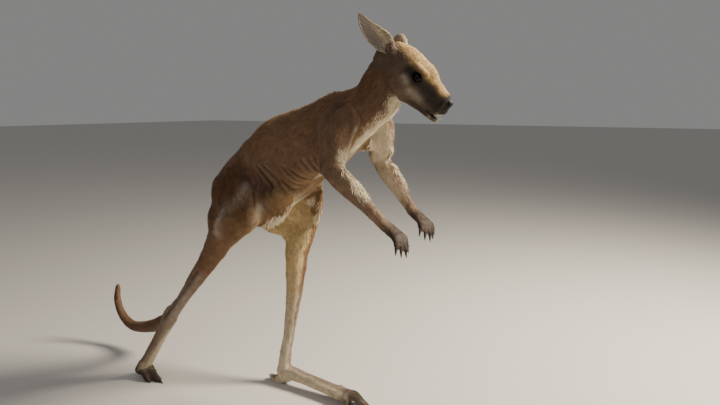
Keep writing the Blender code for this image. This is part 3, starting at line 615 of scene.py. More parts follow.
def eye_frame(side):
    """The eye's centre, the way it looks, its corner-to-corner way and its upward way."""
    centre = in_head(EYE_PLACE[0], side * EYE_PLACE[1], EYE_PLACE[2])
    turn = np.array(HEAD.to_3x3())
    look = unit(turn @ np.array((0.30, side * 0.94, 0.12)))
    level = turn @ np.array((1.0, 0.0, 0.14))
    level = unit(level - look * (level @ look))
    return centre, look, level, unit(np.cross(look, level)) * side


def round_eye(points, side):
    """The way from the eye's centre, how far ahead of it, and how far across and up the opening."""
    centre, look, level, up = eye_frame(side)
    away = points - centre
    return away, away @ look, away @ level / EYE_OPENING[0], away @ up / EYE_OPENING[1]


def shape_face(points, body):
    """Raises brow and cheek, sets the lips, and draws the lids over the eyeball."""
    x, y, z = body.head.T
    on_head = body.is_part("head") * 1.0
    short = -0.31 * np.maximum(x - 0.240, 0.0) * ramp(-0.008, -0.020, z) * ramp(-0.078, -0.066, z)
    upper = -0.0052 * ramp(0.205, 0.232, x) * np.exp(-(((z + 0.059) / 0.0075) ** 2))
    upper *= z > LIP_LINE
    corner = 0.010 * ramp(0.252, 0.272, x) * ramp(-0.044, -0.054, z) * (z > LIP_LINE)
    turn = np.array(HEAD.to_3x3())
    points = points + (short * on_head)[:, None] * turn[:, 0]
    points = points + ((upper + corner) * on_head)[:, None] * turn[:, 2]
    folded = np.stack([x, abs(y), z], axis=1)
    rise = np.zeros(len(points))
    for start, end, radius, height in FACE_SWELLS:
        rise += height * near_line(folded, start, end, radius)
    points = points + body.normals * rise[:, None]
    for side in SIDES.values():
        centre = eye_frame(side)[0]
        away, ahead, a, b = round_eye(points, side)
        b = np.where(b > 0, b * UPPER_LID, b)
        ring = np.sqrt(a**2 + (b * (1 + 0.25 * abs(a) ** 3)) ** 2)
        reach = np.linalg.norm(away, axis=1)
        lid = EYE_RADIUS + LID
        wanted = reach + (np.maximum(lid, reach) - reach) * ramp(LIDS_FADE, LIDS_WRAP, ring)
        wanted = np.where(ring < LID_EDGE, lid + LID_ROLL, wanted)
        wanted = np.where(ring < 1.0, EYE_RADIUS - EYE_SUNK, wanted)
        moved = centre + away * (wanted / np.maximum(reach, 1e-9))[:, None]
        points = np.where(((ahead > -0.004) & (ring < LIDS_FADE))[:, None], moved, points)
    return points


# Along the tail: share of its length, thickness against the solid's, and shift (metres).
TAIL_WAIST = [
    (0.00, 1.00, 0.000), (0.08, 0.90, -0.004), (0.165, 0.77, -0.006), (0.275, 0.75, 0.000),
    (0.40, 0.64, 0.010), (0.515, 0.66, 0.007), (0.61, 0.82, 0.002), (0.70, 1.00, 0.000),
    (1.00, 1.00, 0.000),
]
SHIFTS = [
    # centre, reach, move; the same on both sides
    ((-0.025, 0.085, 0.900), 0.100, (0.014, -0.006, -0.022)),
    ((0.060, 0.060, 0.945), 0.060, (0.002, 0.0, -0.006)),
    ((0.310, 0.040, 0.780), 0.075, (0.0, 0.0, 0.016)),
]


def settle(points, body):
    """Draws the tail and the rump in to their true leanness."""
    share, _, _, centre, heading = body.runs["tail"]
    shares, sizes, lifts = np.array(TAIL_WAIST).T
    over = np.cross(heading, (0.0, 1.0, 0.0))
    size, lift = np.interp(share, shares, sizes), np.interp(share, shares, lifts)
    away = points - centre
    beyond = heading * (away * heading).sum(axis=1)[:, None]
    move = (away - beyond) * (size - 1)[:, None] - over * lift[:, None]
    weight = body.pull["tail"] / sum(body.pull.values())
    points = points + move * weight[:, None]
    for place, reach, way in SHIFTS:
        for side in SIDES.values():
            middle = mirror_of(place, side)
            near = near_line(points, middle, middle, reach)
            points = points + near[:, None] * np.array((way[0], way[1] * side, way[2]))
    return points


set_places(hide_mesh, settle(places, body))
hide = bmesh.new()
hide.from_mesh(hide_mesh)
NEAR_FOLDS, IN_A_FOLD = 0.45, 0.0011  # where the mesh is made finer, and finer still
for finest in (False, True):
    centres = np.array([face.calc_center_median() for face in hide.faces])
    deep, near_folds = flank_folds(centres)
    chosen = abs(deep) > IN_A_FOLD if finest else near_folds > NEAR_FOLDS
    edges = {e for face, wanted in zip(hide.faces, chosen) if wanted for e in face.edges}
    bmesh.ops.subdivide_edges(hide, edges=list(edges), cuts=1, use_grid_fill=True)
    bmesh.ops.triangulate(hide, faces=[f for f in hide.faces if len(f.verts) > 4])
hide.to_mesh(hide_mesh)
hide.free()
smooth_shade(hide_mesh)
body = Body(read_places(hide_mesh), read_normals(hide_mesh))
places = shape_face(body.points + body.normals * under_coat(body)[:, None], body)
ON_FLOOR = 0.0002  # the skin stops just above the floor, and the hair twice as far
places[:, 2] = np.maximum(places[:, 2], ON_FLOOR)
set_places(hide_mesh, places)


# The colours of hide and coat are one set of markings with painted light and shade laid in:
# red-brown above, darker down the rump, sandy on the brow and back, cream along throat, belly edge
# and inner limbs, grey-brown cheeks, a dark band from eye to nose, and black at the toes. Painted
# shade darkens the folds, grooves and hollows, the low flank, the neck, cheeks, eye sockets and
# jaw, and the backs of the feet. Painted highlights pale the fold ridges, swells and shin bones and
# make the brow and back sandy; painted sunlight makes the crown and the inside of the thighs sandy
# and golden; a painted sheen lightens the arms.
RED_BROWN = (0.182, 0.098, 0.051)
DARK_BROWN = (0.108, 0.051, 0.024)
# Painted shade for the fold valleys and the sunk cord down each shank.
GROOVE_SHADE = (0.060, 0.032, 0.019)
SANDY = (0.440, 0.276, 0.100)
GREY_BROWN = (0.190, 0.124, 0.080)
CREAM = (0.680, 0.570, 0.400)
RUMP_RED = (0.158, 0.067, 0.021)
PALE_GREY = (0.400, 0.335, 0.270)
# Painted shade for the side of the head below the brow.
CHEEK_SHADE = (0.088, 0.056, 0.038)
MUZZLE_DARK = (0.032, 0.021, 0.016)
SKIN_DARK = (0.020, 0.015, 0.013)
# Painted sunlight on the pale fur high inside the thighs.
SUNLIT_GOLD = (0.640, 0.480, 0.250)
# A lighter brown laid over the arms as a painted sheen.
ARM_SHEEN = (0.300, 0.195, 0.125)
# How strongly each side shows the flank marks that go with the creases. Of these marks, the dark
# brown is painted shade in the grooves and hollows of thigh, stifle and shoulder, and the pale grey
# is a painted highlight on the swells of thigh and shoulder blade.
CREASE_COLOUR = {"right": 1.0, "left": 0.30}
FLANK_MARKS = [
    # colour, strength, whether it goes with the creases, whether it is on outward faces only,
    # then the lines it follows: start, end, reach
    (RUMP_RED, 1.05, True, False, [((-0.040, 0.130, 0.790), (0.045, 0.180, 0.780), 0.056)]),
    (DARK_BROWN, 0.80, True, True, [((0.185, 0.130, 0.745), (0.215, 0.110, 0.712), 0.040)]),
    (DARK_BROWN, 0.75, True, False, [
        ((0.060, 0.120, 0.865), (0.165, 0.155, 0.775), 0.024),
        ((0.150, 0.215, 0.740), (0.120, 0.230, 0.640), 0.022),
    ]),
    (PALE_GREY, 0.62, True, False, [
        ((0.122, 0.165, 0.795), (0.126, 0.203, 0.750), 0.016),
        ((0.100, 0.207, 0.735), (0.062, 0.215, 0.700), 0.019),
        ((0.062, 0.215, 0.700), (0.055, 0.226, 0.645), 0.021),
        ((0.188, 0.178, 0.728), (0.190, 0.194, 0.690), 0.017),
    ]),
    (PALE_GREY, 0.14, False, False, [((0.395, 0.118, 1.000), (0.415, 0.140, 0.880), 0.022)]),
    (DARK_BROWN, 0.35, False, False, [((0.360, 0.110, 0.980), (0.375, 0.115, 0.900), 0.026)]),
]


def paint(colours, part, *layers):
    """Lays colours over one part of the body, each by its share at every point."""
    for colour, share in layers:
        share = np.clip(part * share, 0.0, 1.0)[:, None]
        colours[:] = colours * (1 - share) + np.array(colour) * share


def marks_and_painted_light(body):
    """The colour of the coat at each point of the body, with painted light and shade laid in."""
    points, normals = body.points, body.normals
    colours = np.tile(np.array(RED_BROWN), (len(points), 1))
    fine = ripple(points, 0.030, 22)
    up = body.trunk_up + 0.05 * ripple(points, 0.130, 21) + 0.04 * fine
    # Trunk: a painted sandy sheen along the back, grey-brown low on the flank deepened with
    # painted shade, cream only underneath.
    trunk = body.is_part("trunk") * 1.0
    paint(
        colours, trunk,
        (SANDY, ramp(0.70, 1.05, up) * 0.40),
        (GREY_BROWN, ramp(0.40, -0.30, up) * 0.30),
        (DARK_BROWN, ramp(0.05, -0.55, up) * 0.62),
        (SANDY, ramp(-0.60, -0.85, up) * 0.30),
        (CREAM, ramp(-0.80, -1.00, up) * ramp(-0.55, -0.90, normals[:, 2])),
    )
    for name, side in SIDES.items():
        for colour, strength, creased, outward, lines in FLANK_MARKS:
            share = sum(near_mirrored(points, *line, side) for line in lines)
            share = np.clip(share, 0, 1) * strength * (CREASE_COLOUR[name] if creased else 1.0)
            facing = ramp(-0.1, 0.4, side * normals[:, 1]) if outward else 1.0
            paint(colours, facing, (colour, share))
    # The folds are darkened with painted shade and their ridges paled with a painted highlight.
    # High on the trunk the neck is darkened with painted shade on all but its upward faces, and
    # cream runs down the throat and chest to the inside of the arms.
    deep = flank_folds(points)[0]
    neck = near_line(points, at(0.470, 0.0, 1.120), at(0.560, 0.0, 1.150), 0.110)
    front = near_line(points, at(0.592, 0.0, 1.085), at(0.472, 0.0, 0.930), 0.050)
    facing = normals @ unit(np.array((0.80, 0.0, -0.60)))
    inside = ramp(0.038, 0.012, abs(points[:, 1] - HOME.y) + 0.006 * fine) * ~body.is_part("head")
    paint(
        colours, 1.0,
        (GROOVE_SHADE, np.clip((deep - 0.0006) * 230, 0, 0.78)),
        (PALE_GREY, np.clip(-deep * 200, 0, 0.14)),
        (DARK_BROWN, neck * trunk * ramp(0.75, 0.35, normals[:, 2]) * 0.90),
        (GREY_BROWN, front * ramp(0.0, 0.5, facing) * 0.6),
        (CREAM, front * 1.6 * ramp(0.20, 0.60, facing) * inside),
    )
    for name, side in SIDES.items():
        inward = -side * normals[:, 1]
        leg_marks_and_painted_light(colours, body, name, side, inward, fine)
        arm_marks_and_painted_sheen(colours, body, name, side, inward, fine)
    below = ramp(0.20, -0.75, normals @ unit(np.array((-0.60, 0.0, 0.80))))
    paint(
        colours, body.is_part("tail"),
        (DARK_BROWN, 0.30),
        (GREY_BROWN, 0.35),
        (PALE_GREY, below * 0.25),
        (DARK_BROWN, ramp(0.45, 0.90, body.share("tail")) * 0.55),
    )
    face_marks_and_painted_light(colours, body)
    paint(colours, 1.0, (SKIN_DARK, ramp(0.008, 0.003, points[:, 2])))
    return colours


def leg_marks_and_painted_light(colours, body, name, side, inward, fine):
    """Golden inside with painted sunlight, paler down the shank, a cord of painted shade beside the
    bone's painted highlight, and dark toes.
    """
    points, along = body.points, body.share("leg_" + name)
    stops, _, back, cord = shank_lines(name, side)
    upper, middle, lower = cord
    # The dark cord is painted shade along the groove sunk down the shank, and the pale bone beside
    # it is a painted highlight on the shin.
    dark = near_path(points, cord, 0.0075)
    shin_highlight = near_line(points, upper - back * 0.018, middle - back * 0.016, 0.011)
    shin_highlight = np.maximum(shin_highlight, near_line(points, middle - back * 0.016, lower - back * 0.014, 0.010))
    forward = body.normals[:, 0] + 0.45 * inward
    within = ramp(0.05, 0.70, inward + 0.1 * fine)
    paint(
        colours, body.is_part("leg_" + name),
        (DARK_BROWN, ramp(0.30, 0.42, along) * ramp(0.72, 0.55, along) * 0.25),
        (SANDY, near_line(points, stops[KNEE], stops[KNEE], 0.060) * 0.22),
        (GREY_BROWN, ramp(0.52, 0.66, along) * 0.80),
        (PALE_GREY, ramp(0.40, 0.58, along) * 0.40),
        # Sandy and golden high inside the thigh is painted sunlight on its pale fur, which is cream
        # lower down.
        (SANDY, ramp(-0.2, 0.4, inward) * 0.45 * ramp(0.45, 0.15, along)),
        (SUNLIT_GOLD, within * ramp(0.60, 0.35, along) * 0.9),
        (CREAM, within * ramp(0.35, 0.60, along) * 0.75),
        # Down the foot the front is cream, its pale fur brightened by painted sunlight.
        (CREAM, ramp(0.25, 0.85, forward) * ramp(0.68, 0.76, along) * 0.75),
        (GROOVE_SHADE, dark * 0.75),
        (PALE_GREY, shin_highlight * (1 - dark) * 0.35),
        # The rear faces of the lower shank and foot are darkened with painted shade.
        (DARK_BROWN, ramp(0.30, -0.40, forward) * ramp(0.62, 0.76, along) * 0.55),
        (MUZZLE_DARK, ramp(0.88, 0.95, along + 0.01 * fine) * 0.85),
    )


def arm_marks_and_painted_sheen(colours, body, name, side, inward, fine):
    """Brown outside under a painted sheen of lighter brown, cream inside and along the front edge,
    and dark hands.
    """
    normals, along = body.normals, body.share("arm_" + name)
    under = ramp(0.20, 0.75, inward * 0.75 - normals[:, 2] * 0.45 + normals[:, 0] * 0.30)
    edge = [mirror_of(stop, side) for stop in ((0.486, 0.148, 0.905), (0.556, 0.149, 0.790))]
    paint(
        colours, body.is_part("arm_" + name),
        (ARM_SHEEN, 0.30),
        (GREY_BROWN, ramp(0.15, 0.55, along) * 0.6),
        (CREAM, under * 0.85 * ramp(0.80, 0.62, along)),
        (CREAM, near_path(body.points, edge, 0.016) * ramp(0.35, 0.8, normals[:, 0]) * 0.9),
        (MUZZLE_DARK, ramp(0.76, 0.86, along + 0.01 * fine) * 0.85),
    )


def gape(x):
    """The height in the head of the line between the jaws."""
    return -0.0755 + (x - 0.188) * 0.12


def face_marks_and_painted_light(colours, body):
    """Sandy crown, bridge and brow in painted sunlight, brown cheeks and jaw in painted shade, a
    dark band from eye to nose, and a pale lip.
    """
    x, y, z = body.head.T
    folded = np.stack([x, abs(y), z], axis=1)
    fine = 0.004 * ripple(body.points, 0.020, 31)

    def streak(start, end, reach):
        return near_line(folded, start, end, reach)

    # Painted sunlight makes the crown and bridge sandy; below the brow line the head is darkened
    # with painted shade.
    crown = ramp(-0.006, 0.014, z + fine - 0.10 * np.maximum(0.06 - x, 0))
    bridge = ramp(0.15, 0.18, x) * ramp(-0.014, -0.003, z + fine)
    dark = streak((0.128, 0.046, -0.022), (0.168, 0.036, -0.030), 0.0200)
    dark = np.maximum(dark, streak((0.168, 0.036, -0.034), (0.246, 0.022, -0.036), 0.0240))
    dark = np.maximum(dark, streak((0.108, 0.050, -0.022), (0.146, 0.044, -0.034), 0.0190))
    dark *= ramp(0.070, 0.110, x + fine) * ramp(0.002, -0.012, z)
    # Painted shade darkens the eye socket under the brow, and the lower jaw behind the lips.
    socket = streak((0.116, 0.049, -0.024), (0.148, 0.042, -0.028), 0.0155)
    jaw = ramp(-0.002, 0.003, gape(x) - z) * ramp(0.145, 0.185, x)
    upper_lip = streak((0.252, 0.016, -0.058), (0.262, 0.000, -0.050), 0.0052)
    upper_lip *= z > LIP_LINE - 0.001
    lower_lip = streak((0.240, 0.013, -0.076), (0.262, 0.000, -0.071), 0.0044)
    lower_lip *= z < LIP_LINE
    tip = ramp(0.232, 0.240, x) * ramp(-0.040, -0.032, z) * ramp(0.006, 0.002, z)
    paint(
        colours, body.is_part("head"),
        (GREY_BROWN, 0.65),
        (CHEEK_SHADE, ramp(0.006, -0.012, z + fine) * 0.85),
        (SANDY, np.maximum(crown, bridge) * 0.95),
        (MUZZLE_DARK, np.clip(dark * 1.35, 0, 0.93)),
        (SKIN_DARK, socket * ramp(-0.006, -0.014, z) * 1.2),
        # A painted highlight makes the brow sandy.
        (SANDY, streak((0.100, 0.045, 0.000), (0.156, 0.036, 0.003), 0.0095) * 1.1),
        (PALE_GREY, streak((0.152, 0.046, -0.064), (0.188, 0.040, -0.064), 0.0130) * 0.56),
        (PALE_GREY, streak((0.112, 0.056, -0.046), (0.126, 0.054, -0.052), 0.0100) * 0.42),
        (MUZZLE_DARK, jaw * 0.85),
        (PALE_GREY, ramp(-0.096, -0.112, z + fine) * ramp(0.17, 0.11, x) * 0.5),
        (CREAM, upper_lip * 1.1),
        (CREAM, lower_lip * 1.1),
        (SKIN_DARK, streak((0.174, 0.043, -0.0765), (0.226, 0.031, -0.0700), 0.0042) * 1.2),
        (SKIN_DARK, tip),
    )


body = Body(places, read_normals(hide_mesh))


def store_colours(mesh, colours):
    layer = mesh.color_attributes.new("coat_colour", "FLOAT_COLOR", "POINT")
    layer.data.foreach_set("color", np.insert(colours, 3, 1.0, axis=1).astype(np.float32).ravel())


# Bare dark skin lies between the jaws and on the lids.
MOUTH_CORNER, MOUTH_FRONT = 0.186, 0.268
hide_colours = marks_and_painted_light(body)
x, _, z = body.head.T
in_mouth = (x > MOUTH_CORNER) & (x < MOUTH_FRONT)
in_mouth &= abs(z - gape(x)) < 0.002 + (x - MOUTH_CORNER) * 0.095
in_mouth &= abs(body.normals @ np.array(HEAD.to_3x3() @ Vector((0, 0, 1)))) > 0.55
paint(hide_colours, in_mouth, (SKIN_DARK, 0.95))
for side in SIDES.values():
    _, ahead, a, b = round_eye(body.points, side)
    paint(hide_colours, ahead > -0.004, (SKIN_DARK, ramp(1.65, 1.35, np.sqrt(a**2 + b**2))))
store_colours(hide_mesh, hide_colours * 0.85)


class Wire:
    """A shader value that can be used in sums."""

    def __init__(self, tree, socket):
        self.tree, self.socket = tree, socket

    def _math(self, operation, other):
        node = self.tree.nodes.new("ShaderNodeMath")
        node.operation = operation
        self.tree.links.new(self.socket, node.inputs[0])
        if isinstance(other, Wire):
            self.tree.links.new(other.socket, node.inputs[1])
        else:
            node.inputs[1].default_value = other
        return Wire(self.tree, node.outputs[0])

    def __add__(self, other):
        return self._math("ADD", other)

    def __mul__(self, other):
        return self._math("MULTIPLY", other)

    __radd__, __rmul__ = __add__, __mul__


class Finish:
    """A material: a Principled shader, and nodes made by type, settings and socket values."""

    def __init__(self, name, **sockets):
        self.material = bpy.data.materials.new(name)
        self.material.use_nodes = True
        self.tree = self.material.node_tree
        self.shader = self.tree.nodes["Principled BSDF"]
        for socket, value in sockets.items():
            self.shader.inputs[socket.replace("_", " ")].default_value = value

    def node(self, kind, settings=None, output=0, **sockets):
        """Any other node. Its sockets go by name, or by number as s0 and s1."""
        made = self.tree.nodes.new(kind)
        for setting, value in (settings or {}).items():
            setattr(made, setting, value)
        for socket, value in sockets.items():
            number = socket[1:]
            plug = made.inputs[int(number) if number.isdigit() else socket]
            if isinstance(value, Wire):
                self.tree.links.new(value.socket, plug)
            else:
                plug.default_value = value
        return Wire(self.tree, made.outputs[output])

    def places(self):
        return self.node("ShaderNodeTexCoord", output=3)

    def noise(self, scale, detail=2.0, roughness=0.5):
        fineness = {"Scale": scale, "Detail": detail, "Roughness": roughness}
        return self.node("ShaderNodeTexNoise", Vector=self.places(), **fineness)

    def painted(self):
        """The colours painted on the piece itself."""
        return self.node("ShaderNodeAttribute", {"attribute_name": "coat_colour"})

    def plain(self, *colour):
        made = self.node("ShaderNodeRGB")
        made.socket.default_value = (*colour, 1.0)
        return made

    def shaded(self, colour, low, high, share):
        """The colour, darkened to low where share is 0 and brightened to high where it is 1."""
        scale = share * (high - low) + low
        grey = self.node("ShaderNodeCombineXYZ", X=scale, Y=scale, Z=scale)
        return self.node("ShaderNodeVectorMath", {"operation": "MULTIPLY"}, s0=colour, s1=grey)

    def bump(self, height, strength, distance):
        return self.node("ShaderNodeBump", Height=height, Strength=strength, Distance=distance)

    def wear(self, **links):
        for socket, wire in links.items():
            self.tree.links.new(wire.socket, self.shader.inputs[socket.replace("_", " ")])

    def put_on(self, mesh):
        mesh.materials.clear()
        mesh.materials.append(self.material)
        mesh.polygons.foreach_set("material_index", np.zeros(len(mesh.polygons), np.int32))


hide_finish = Finish("hide", Roughness=0.78, Specular_IOR_Level=0.25)
grain = hide_finish.noise(420.0, 3.0)
hide_finish.wear(
    Base_Color=hide_finish.shaded(hide_finish.painted(), 0.72, 1.18, grain),
    Normal=hide_finish.bump(grain, 0.5, 0.0012),
)
hide_finish.put_on(hide_mesh)
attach(skin, "root")
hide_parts(*sorted(set(BODY + EARLESS + ["foot_right", "foot_left", "hand_right", "hand_left"])))

# ------------------------------------------------------------------ ears
# Each ear is a thin cupped leaf of gristle and skin, thickest at the rolled base where it
# grows from the skull, bare and grey-pink inside. Its fur is laid with the rest of the coat.
EARS = {
    "right": {
        "base": (0.024, -0.037, -0.024), "tip": (-0.955, -0.270, 0.080),
        "face": (0.10, -0.90, 0.22), "front": 1, "wide": 1.0, "root": 0.45,
    },
    "left": {
        "base": (0.028, 0.036, -0.008), "tip": (-0.430, 0.885, 0.110),
        "face": (0.75, 0.30, 0.45), "front": -1, "wide": 1.16, "root": 0.90,
    },
}
EAR_LENGTH, EAR_HALF_WIDTH, EAR_WALL = 0.1385, 0.0268, 0.0016
EAR_SKIN, EAR_BACK = (0.260, 0.218, 0.180), (0.300, 0.215, 0.130)


def on_ear(spots, base, along, side, pose):
    """How far up the ear each spot is, and how far across it towards the front edge."""
    away = spots - np.array(base)
    across = (away @ np.array(side)) / EAR_HALF_WIDTH * pose["front"]
    return (away @ np.array(along)) / EAR_LENGTH, across


def ear_colours(spots, facing, base, along, face, side, pose):
    """Grey-pink inside, sandy down the front edge in painted sunlight, brown at the back, dark at
    the tip, and painted shade deep in the cup by its base.
    """
    rise, across = on_ear(spots, base, along, side, pose)
    inner = ramp(0.0, 0.5, facing @ np.array(face))
    colours = np.tile(np.array(EAR_BACK), (len(spots), 1))
    paint(colours, 1.0, (DARK_BROWN, 0.5 * ramp(0.75, 1.0, rise)), (EAR_SKIN, inner))
    paint(
        colours, inner,
        (SANDY, ramp(0.05, 0.45, across + 0.5 * (0.5 - rise)) * 0.85),
        (PALE_GREY, ramp(-0.55, -0.95, across) * 0.5),
        (SKIN_DARK, ramp(0.26, 0.04, rise) * ramp(0.5, 0.1, across) * 0.85),
    )
    return colours


ear_pieces = {}
for name, pose in EARS.items():
    turn = HEAD.to_3x3()
    along = (turn @ Vector(pose["tip"])).normalized()
    face = turn @ Vector(pose["face"])
    face = (face - along * face.dot(along)).normalized()
    side = along.cross(face)
    base = Vector(in_head(*pose["base"]))
    leaf = bmesh.new()
    bmesh.ops.create_grid(leaf, x_segments=44, y_segments=26, size=1.0)
    for vertex in leaf.verts:
        u, v = (vertex.co.x + 1) / 2, vertex.co.y
        half = EAR_HALF_WIDTH * (0.62 + 1.55 * u - 1.05 * u * u) * (1 - u**3.2) ** 0.62 + 0.0012
        half *= pose["wide"] * (pose["root"] + (1 - pose["root"]) * ramp(-0.02, 0.24, u))
        if v * pose["front"] > 0:  # the front edge runs nearly straight to the tip
            half *= 1 - 0.48 * ramp(0.28, 0.80, u)
        depth = half * (0.95 - 0.55 * u)
        wrap = math.radians(118 - 52 * u) * v  # rolled at the base, and open towards the tip
        back = -depth * math.cos(wrap) + depth * 0.35 - 0.012 * math.sin(math.pi * u)
        groove = 0.0010 * math.exp(-((abs(v) - 0.55) / 0.12) ** 2)
        back += 0.0012 * math.sin(9 * v) * (1 - u) - groove
        rise = u * EAR_LENGTH - 0.012 * (1 - u) * v * v
        vertex.co = base + along * rise + side * half * math.sin(wrap) + face * back
    piece = add("pinna_" + name, cast("leaf", leaf))
    wall = piece.modifiers.new("wall", "SOLIDIFY")
    wall.thickness, wall.offset = EAR_WALL, 0.0
    solid = applied(piece)
    piece.modifiers.clear()
    shell = bmesh.new()
    shell.from_mesh(solid)
    bmesh.ops.recalc_face_normals(shell, faces=shell.faces[:])
    piece.data = cast("ear_" + name, shell)
    place = (base, along, face, side, pose)
    colours = ear_colours(read_places(piece.data), read_normals(piece.data), *place)
    store_colours(piece.data, colours)
    hide_finish.put_on(piece.data)
    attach(piece, "root")
    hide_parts("ear_" + name)
    ear_pieces[name] = (piece.data, *place)

# ------------------------------------------------------------------ coat
# The coat is short and close: locks of hair that root in the skin and lie back along the body,
# from nose to tail and down each limb. It is finest on face and feet, and grows long and loose
# on chest, belly edge, groin, elbows, withers and the base of the ears.
LOCKS = {
    # per square metre, length, half width, how unevenly they lie
    "head": (330000, 0.0075, 0.00078, 0.13),
    "ear": (300000, 0.0065, 0.00070, 0.18),
    "trunk": (112000, 0.0180, 0.00135, 0.14),
    "fold": (250000, 0.0072, 0.00085, 0.10),
    "tail": (138000, 0.0125, 0.00120, 0.14),
    "leg": (116000, 0.0135, 0.00120, 0.13),
    "arm": (165000, 0.0120, 0.00100, 0.14),
}
DOWN = np.array((0.0, 0.0, -1.0))


def lie_of_coat(body):
    """The way the hair lies at each point."""
    flow = np.zeros((len(body.points), 3))
    for name, (share, _, _, centre, heading) in body.runs.items():
        way = heading * 1.0
        if name == "trunk":
            flank = np.clip(1 - abs(body.trunk_up), 0, 1)
            way = way + DOWN * (0.25 + 0.35 * flank)[:, None]
        if name.startswith("leg"):
            way = way + np.array((-0.35, 0.0, -0.35)) * ramp(0.45, 0.10, share)[:, None]
        if name.startswith("arm"):
            way = way + DOWN * 0.15
        if name == "head":
            way = way + unit(body.points - centre) * 0.10 + DOWN * 0.10
        flow += body.pull[name][:, None] * way
    return unit(flow)


FLATNESS = 5.5  # a lock reaches at most this many times as far as the coat is deep
TIP_LIFT = 0.95  # how much of the coat's depth the tips of the locks reach


def grow(mesh, body, faces_wanted, locks, depth, seed, way=None):
    """Lays locks over the wanted faces of a mesh; each is a thin ridged blade, seven points."""
    density, length, half_width, loose = locks
    draw = np.random.default_rng(seed)
    mesh.calc_loop_triangles()
    corners = np.zeros(len(mesh.loop_triangles) * 3, np.int64)
    mesh.loop_triangles.foreach_get("vertices", corners)
    corners = corners.reshape(-1, 3)
    corners = corners[faces_wanted[corners].mean(1) > 0.02]
    a, b, c = (body.points[corners[:, k]] for k in range(3))
    areas = np.linalg.norm(np.cross(b - a, c - a), axis=1) / 2
    wanted = areas * density * faces_wanted[corners].mean(1)
    counts = np.floor(wanted + draw.random(len(wanted))).astype(int)
    pick = np.repeat(np.arange(len(corners)), counts)
    u, v = draw.random(len(pick)), draw.random(len(pick))
    over = u + v > 1
    u[over], v[over] = 1 - u[over], 1 - v[over]
    shares = np.stack([1 - u - v, u, v], axis=1)[:, :, None]
    chosen = corners[pick]

    def blended(values):
        return (values[chosen] * shares).sum(1)

    root, up = blended(body.points), unit(blended(body.normals))
    if way is None:
        flow = blended(lie_of_coat(body))
    else:
        flow = blended(np.broadcast_to(unit(np.array(way)), body.points.shape))
    stray = np.stack([ripple(root, 0.022, 40 + k) for k in range(3)], axis=1) * loose
    stray = stray + draw.normal(size=root.shape) * loose * 0.5
    flow = unit(flow + stray)
    along = unit(flow - up * (flow * up).sum(1, keepdims=True))
    across = np.cross(along, up)
    # Each lock has its own size, and stands off the skin by its own share of the coat's depth.
    count = len(root)
    size = draw.uniform(0.75, 1.30, count)[:, None]
    height = blended(depth[:, None]) * draw.uniform(0.55, 1.12, count)[:, None]
    height = height * (1 + 0.25 * ripple(root, 0.035, 60)[:, None])
    reach = np.minimum(length * size, blended(depth[:, None]) * FLATNESS + 0.004)
    half = half_width * size * draw.uniform(0.85, 1.2, count)[:, None]
    low = root - up * 0.0004
    middle = root + along * reach * 0.50 + up * height * 0.62
    lean = across * half * draw.normal(size=(count, 1)) * 0.8
    tip = root + along * reach + up * height * TIP_LIFT + lean
    ridge = up * half * 0.55
    spots = np.stack(
        [
            low - across * half * 0.8, low + ridge, low + across * half * 0.8,
            middle - across * half, middle + ridge, middle + across * half, tip,
        ],
        axis=1,
    )
    spots[:, :, 2] = np.maximum(spots[:, :, 2], 2 * ON_FLOOR)
    return {"spots": spots, "root": root, "up": up, "count": count, "draw": draw}


# The four faces of a blade: two from root to middle, and two from middle to tip.
BLADE_CORNERS = np.array((0, 1, 4, 3, 1, 2, 5, 4, 3, 4, 6, 4, 5, 6))
BLADE_STARTS = np.array((0, 4, 8, 11))


def as_mesh(name, spots):
    """Joins blades, given as (count, 7, 3) places, into one mesh."""
    count = len(spots)
    mesh = bpy.data.meshes.new(name)
    mesh.vertices.add(count * 7)
    mesh.vertices.foreach_set("co", spots.reshape(-1).astype(np.float32))
    mesh.loops.add(count * 14)
    corners = (BLADE_CORNERS[None, :] + 7 * np.arange(count)[:, None]).ravel()
    mesh.loops.foreach_set("vertex_index", corners.astype(np.int32))
    mesh.polygons.add(count * 4)
    starts = (BLADE_STARTS[None, :] + 14 * np.arange(count)[:, None]).ravel()
    mesh.polygons.foreach_set("loop_start", starts.astype(np.int32))
    mesh.update(calc_edges=True)
    smooth_shade(mesh)
    return mesh


PATCH = 0.003  # how much of the unwrap one lock takes
BLADE_PATCH = np.array(((-0.5, 0), (0, 0), (0.5, 0), (-0.5, 0.5), (0, 0.5), (0.5, 0.5), (0, 1.0)))


def unwrap(mesh, root, run):
    """Each lock's patch lies at its root's place on the skin, unrolled round its run."""
    share, _, _, centre, heading = along_run(root, run)
    side = unit(np.cross(heading, (0.12, 0.05, 1.0)))
    over = np.cross(side, heading)
    away = root - centre
    angle = np.arctan2((away * side).sum(1), (away * over).sum(1)) / (2 * math.pi) + 0.5
    places = np.stack([0.01 + 0.98 * angle, 0.01 + 0.975 * share], axis=1)
    patches = places[:, None, :] + BLADE_PATCH[None] * PATCH
    layer = mesh.uv_layers.new(name="OFBake")
    per_corner = patches[:, BLADE_CORNERS, :].reshape(-1, 2)
    layer.data.foreach_set("uv", per_corner.astype(np.float32).ravel())


coat_finish = Finish(
    "coat", Roughness=0.62, Specular_IOR_Level=0.22, Sheen_Weight=0.06, Sheen_Roughness=0.5
)
coat_tone = coat_finish.noise(260.0, 2.0)
coat_finish.wear(Base_Color=coat_finish.shaded(coat_finish.painted(), 0.86, 1.14, coat_tone))
# The ridge of each lock is a little lighter than its sides: a painted highlight.
BLADE_TONES = np.array((0.66, 0.74, 0.66, 0.94, 1.0, 0.94, 1.18))  # darker root, paler tip


